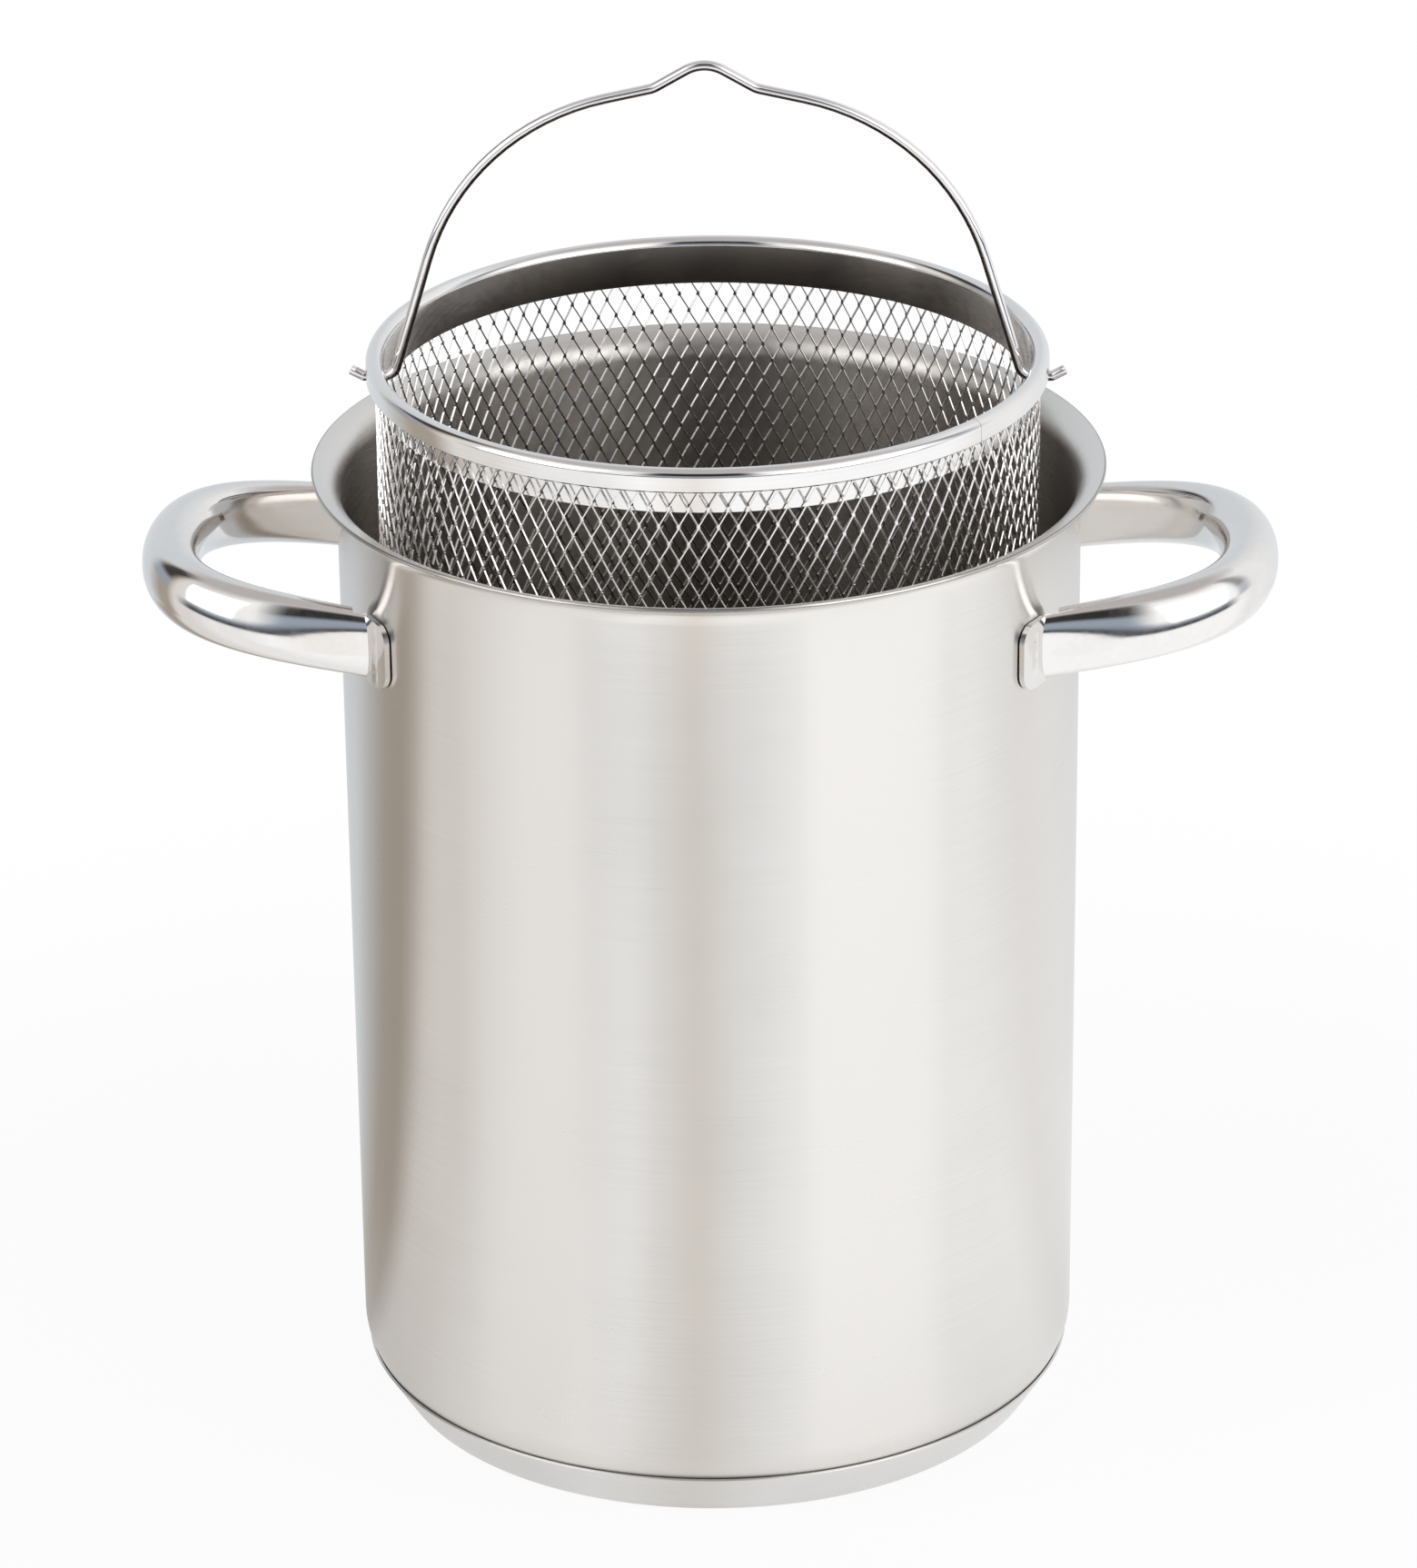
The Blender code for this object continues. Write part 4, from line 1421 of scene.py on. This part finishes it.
@dataclass
class Studio:
    """A white sweep, soft lamps and the camera. Angles are in degrees from the camera's side to the right."""

    floor_radius: float = 460.0
    floor_tone: str = "f4f4f4"
    floor_roughness: float = 0.6
    floor_glow: float = 0.9
    # Shares of the floor's radius between which its glow rises to the backdrop's white.
    floor_fade: tuple[float, float] = (0.35, 0.85)
    # Metres from the axis between which the floor that the metal mirrors leaves the pot's shade.
    pot_shade: tuple[float, float] = (0.08, 0.17)
    pot_shade_glow: float = 0.55
    room_strength: float = 1.3
    azimuth_tones: tuple[tuple[float, RoomTone], ...] = (
        (-180, RoomTone.FAR_SIDE),
        (-138, RoomTone.FAR_SIDE),
        (-115, RoomTone.GAP),
        (-103, RoomTone.GAP),
        (-92, RoomTone.SIDE),
        (-76, RoomTone.SIDE),
        (-55, RoomTone.PLAIN),
        (-36, RoomTone.PLAIN),
        (-20, RoomTone.BRIGHT),
        (-3, RoomTone.CAMERA_SIDE),
        (10, RoomTone.BRIGHT),
        (88, RoomTone.BRIGHT),
        (105, RoomTone.PLAIN),
        (127, RoomTone.PLAIN),
        (180, RoomTone.FAR_SIDE),
    )
    # The dark gaps between the soft boxes: (angle, tone, cover), and the heights of the sky that they fill.
    gap_tones: tuple[tuple[float, str, float], ...] = (
        (-134, "1f1d1c", 0.0),
        (-124, "1f1d1c", 0.9),
        (-108, "1f1d1c", 0.9),
        (-98, "1f1d1c", 0.0),
        (-26, "2b2927", 0.0),
        (-17, "2b2927", 1.0),
        (14, "2b2927", 1.0),
        (22, "2b2927", 0.0),
        (84, "3a3f46", 0.0),
        (91, "3a3f46", 0.7),
        (98, "3a3f46", 0.7),
        (108, "3a3f46", 0.0),
    )
    gap_foot: tuple[float, float] = (0.0, 0.06)
    gap_top: tuple[float, float] = (0.8, 0.9)
    haze: str = "929dab"
    haze_heights: tuple[float, float] = (0.26, 0.4)
    # The dark line of the horizon in front and the grey ceiling: (height, tone, cover).
    height_tones: tuple[tuple[float, str, float], ...] = (
        (-1.0, "2c2a29", 0.0),
        (-0.1, "2c2a29", 0.0),
        (-0.07, "2e2f32", 1.0),
        (-0.03, "3c4147", 1.0),
        (0.02, "737d89", 1.0),
        (0.1, "848e9a", 0.0),
        (0.72, "b4b0b0", 0.0),
        (0.9, "b4b0b0", 1.0),
    )
    horizon_ends: tuple[float, float] = (-0.35, 0.05)
    ceiling_foot: tuple[float, float] = (0.2, 0.4)
    # Soft boxes: name, place in metres, width and height in metres, power in watts.
    lamps: tuple[tuple[str, tuple[float, float, float], float, float, float], ...] = (
        ("left_softbox", (-1.5, -0.95, 0.95), 1.4, 1.3, 8.0),
        ("right_softbox", (1.45, -1.15, 0.9), 1.6, 1.2, 10.0),
    )
    lamp_aim: float = 0.12
    # The camera's place in metres, its turns in radians, and its focal length in the picture's pixels.
    camera_place: tuple[float, float, float] = (0.0495, -1.5959, 0.8343)
    pitch: float = 0.4094
    yaw: float = -0.0315
    roll: float = -0.011
    focal_length: float = 8769.28
    picture_height: int = 1726
    sensor: float = 36.0

    def room_rows(self, towards: str) -> list[Row]:
        """Nodes for "room tone": the room's colour in a direction seen from the pot's axis.

        Args:
            towards: Name of the direction, or of a place seen from the axis.

        Returns:
            The nodes. Their colour ramp is still bare.
        """
        return [
            ("apart", APART, {}, (towards,)),
            ("minus", MATH, TIMES, ("apart.Y", -1.0)),
            ("plan", TOGETHER, {}, ("minus", "apart.X")),
            ("turn", "ShaderNodeTexGradient", {"gradient_type": "RADIAL"}, ("plan",)),
            ("room tone", RAMP, {}, ("turn.Fac",)),
        ]

    def fill_room_tone(self, known: Known) -> None:
        """Give the bare "room tone" ramp its tones."""
        stops = [(angle / 360 + 0.5, tone.value, 1.0) for angle, tone in self.azimuth_tones]
        self.fill_ramp(known["room tone"], stops)

    def fill_ramp(self, ramp: bpy.types.NodeSocket, stops: Sequence[tuple[float, str, float]]) -> None:
        """Set the stops of a colour ramp.

        Args:
            ramp: The ramp's output.
            stops: (place from 0 to 1, colour, cover) of each stop.
        """
        elements = ramp.node.color_ramp.elements
        while len(elements) > 1:
            elements.remove(elements[-1])
        for index, (place, colour, cover) in enumerate(stops):
            stop = elements[0] if index == 0 else elements.new(place)
            stop.position = place
            stop.color = (*linear(colour)[:3], cover)

    def floor(self) -> None:
        """A round white table top that keeps the pot's shadow."""
        bm = bmesh.new()
        bmesh.ops.create_circle(bm, cap_ends=True, segments=128, radius=self.floor_radius * MM)
        piece = add_piece("floor", finished_mesh(bm, "floor"))
        # White laminate: flat and matt. To the camera and in the metal it also glows, more so towards its
        # edge, so that it ends in the white backdrop without a line. In the metal the glow takes the room's
        # tones by direction about the axis, darker towards the room's gap: a painted reflection of the room.
        material, tree = new_material("white_laminate")
        fade = (share * self.floor_radius * MM for share in self.floor_fade)
        rows = [
            PLACE,
            *self.room_rows("place.Object"),
            ("seen", "ShaderNodeLightPath", {}, {}),
            ("look", MIX, COLOURS, ("seen.Is Glossy Ray", linear("ffffff"), "room tone")),
            ("strength", MIX, NUMBERS, ("seen.Is Glossy Ray", 1.0, self.room_strength)),
            ("glow", "ShaderNodeEmission", {}, ("look", "strength")),
            ("reach", VECTORS, {"operation": "LENGTH"}, ("place.Object",)),
            ("edge", RANGE, SMOOTH, ("reach", *fade, self.floor_glow, 1.0)),
            ("direct", MATH, TIMES, ("seen.Is Camera Ray", "edge")),
            ("past", RANGE, SMOOTH, ("reach", *self.pot_shade, self.pot_shade_glow, 1.0)),
            ("mirrored", MATH, TIMES, ("seen.Is Glossy Ray", "past")),
            ("share", MATH, {"operation": "MAXIMUM"}, ("direct", "mirrored")),
            ("matt", SHADER, {}, {"Base Color": linear(self.floor_tone), "Roughness": self.floor_roughness}),
            ("mixed", "ShaderNodeMixShader", {}, ("share", "matt", "glow")),
            ("out", "ShaderNodeOutputMaterial", {}, {"Surface": "mixed"}),
        ]
        known: Known = {}
        add_nodes(tree, known, rows)
        self.fill_room_tone(known)
        piece.data.materials.append(material)

    def world(self) -> None:
        """A plain white surround for the camera, and a soft room for the metal to mirror."""
        world = bpy.data.worlds.new("studio")
        bpy.context.scene.world = world
        world.use_nodes = True
        world.node_tree.nodes.clear()
        rows = [
            ("place", "ShaderNodeTexCoord", {}, {}),
            *self.room_rows("place.Generated"),
            ("gap", RAMP, {}, ("turn.Fac",)),
            ("low", RANGE, SMOOTH, ("apart.Z", *self.gap_foot, 0.0, 1.0)),
            ("high", RANGE, SMOOTH, ("apart.Z", *self.gap_top, 1.0, 0.0)),
            ("band", MATH, TIMES, ("low", "high")),
            ("dark", MATH, TIMES, ("gap.Alpha", "band")),
            ("climb", RANGE, {}, ("apart.Z", *self.haze_heights, 0.0, 1.0)),
            ("gap look", MIX, COLOURS, ("climb", linear(self.haze), "gap")),
            ("around", MIX, COLOURS, ("dark", "room tone", "gap look")),
            ("front", RANGE, SMOOTH, ("apart.Y", *self.horizon_ends, 1.0, 0.0)),
            ("height", RANGE, {}, ("apart.Z", -1.0, 1.0, 0.0, 1.0)),
            ("upwards", RAMP, {}, ("height",)),
            ("above", RANGE, {}, ("apart.Z", *self.ceiling_foot, 0.0, 1.0)),
            ("kept", MATH, {"operation": "MAXIMUM"}, ("front", "above")),
            ("cover", MATH, TIMES, ("upwards.Alpha", "kept")),
            ("room", MIX, COLOURS, ("cover", "around", "upwards")),
            ("lit", "ShaderNodeBackground", {}, ("room", self.room_strength)),
            ("plain", "ShaderNodeBackground", {}, (linear("ffffff"), 1.0)),
            ("seen", "ShaderNodeLightPath", {}, {}),
            ("mixed", "ShaderNodeMixShader", {}, ("seen.Is Camera Ray", "lit", "plain")),
            ("out", "ShaderNodeOutputWorld", {}, {"Surface": "mixed"}),
        ]
        known: Known = {}
        add_nodes(world.node_tree, known, rows)
        self.fill_room_tone(known)
        gaps = [(angle / 360 + 0.5, tone, cover) for angle, tone, cover in self.gap_tones]
        self.fill_ramp(known["gap"], gaps)
        self.fill_ramp(known["upwards"], [((z + 1) / 2, tone, cover) for z, tone, cover in self.height_tones])

    def lamp(self, name: str, place: Sequence[float], width: float, height: float, power: float) -> None:
        """A soft box that looks at the middle of the pot.

        Args:
            name: Name of the lamp.
            place: Its place, in metres.
            width: Its width, in metres.
            height: Its height, in metres.
            power: Its power, in watts.
        """
        light = bpy.data.lights.new(name, "AREA")
        light.shape = "RECTANGLE"
        light.size = width
        light.size_y = height
        light.energy = power
        lamp = bpy.data.objects.new(name, light)
        lamp.location = place
        ray = Vector((0.0, 0.0, self.lamp_aim)) - Vector(place)
        lamp.rotation_euler = ray.to_track_quat("-Z", "Y").to_euler()
        bpy.context.scene.collection.objects.link(lamp)

    def camera(self) -> None:
        """The camera at the picture's place, found by fitting the pot's rims and silhouettes."""
        pitch, yaw = self.pitch, self.yaw
        ahead = Vector((math.sin(yaw) * math.cos(pitch), math.cos(yaw) * math.cos(pitch), -math.sin(pitch)))
        right = Vector((math.cos(yaw), -math.sin(yaw), 0.0))
        right, up = turned(right, right.cross(ahead), self.roll)
        lens = bpy.data.cameras.new("camera")
        lens.sensor_fit = "VERTICAL"
        lens.sensor_height = self.sensor
        lens.lens = self.focal_length * self.sensor / self.picture_height
        lens.clip_end = 100.0
        camera = bpy.data.objects.new("camera", lens)
        placed = Matrix((right, up, -ahead)).transposed().to_4x4()
        placed.translation = Vector(self.camera_place)
        camera.matrix_world = placed
        bpy.context.scene.collection.objects.link(camera)
        bpy.context.scene.camera = camera

    def build(self) -> None:
        """Make the whole studio."""
        self.floor()
        self.world()
        for lamp in self.lamps:
            self.lamp(*lamp)
        self.camera()
        bpy.context.scene.view_settings.view_transform = "Standard"
        LOG.info("studio: floor, surround, %d lamps and camera", len(self.lamps))


def main() -> None:
    """Build the pot, the basket, the bail and the studio."""
    logging.basicConfig(level=logging.INFO, format="%(message)s")
    shell = PotShell()
    shell.build(BODY_STEEL)
    PotBase(shell).build(BASE_STEEL, CORE_METAL)
    LoopHandle(shell).build(HANDLE_STEEL)
    BasketRim().build(RIM_STEEL)
    ExpandedMesh().build(MESH_STEEL)
    BasketFoot().build(FOOT_STEEL)
    Bail().build(WIRE_STEEL)
    Studio().build()


if __name__ == "__main__":
    main()
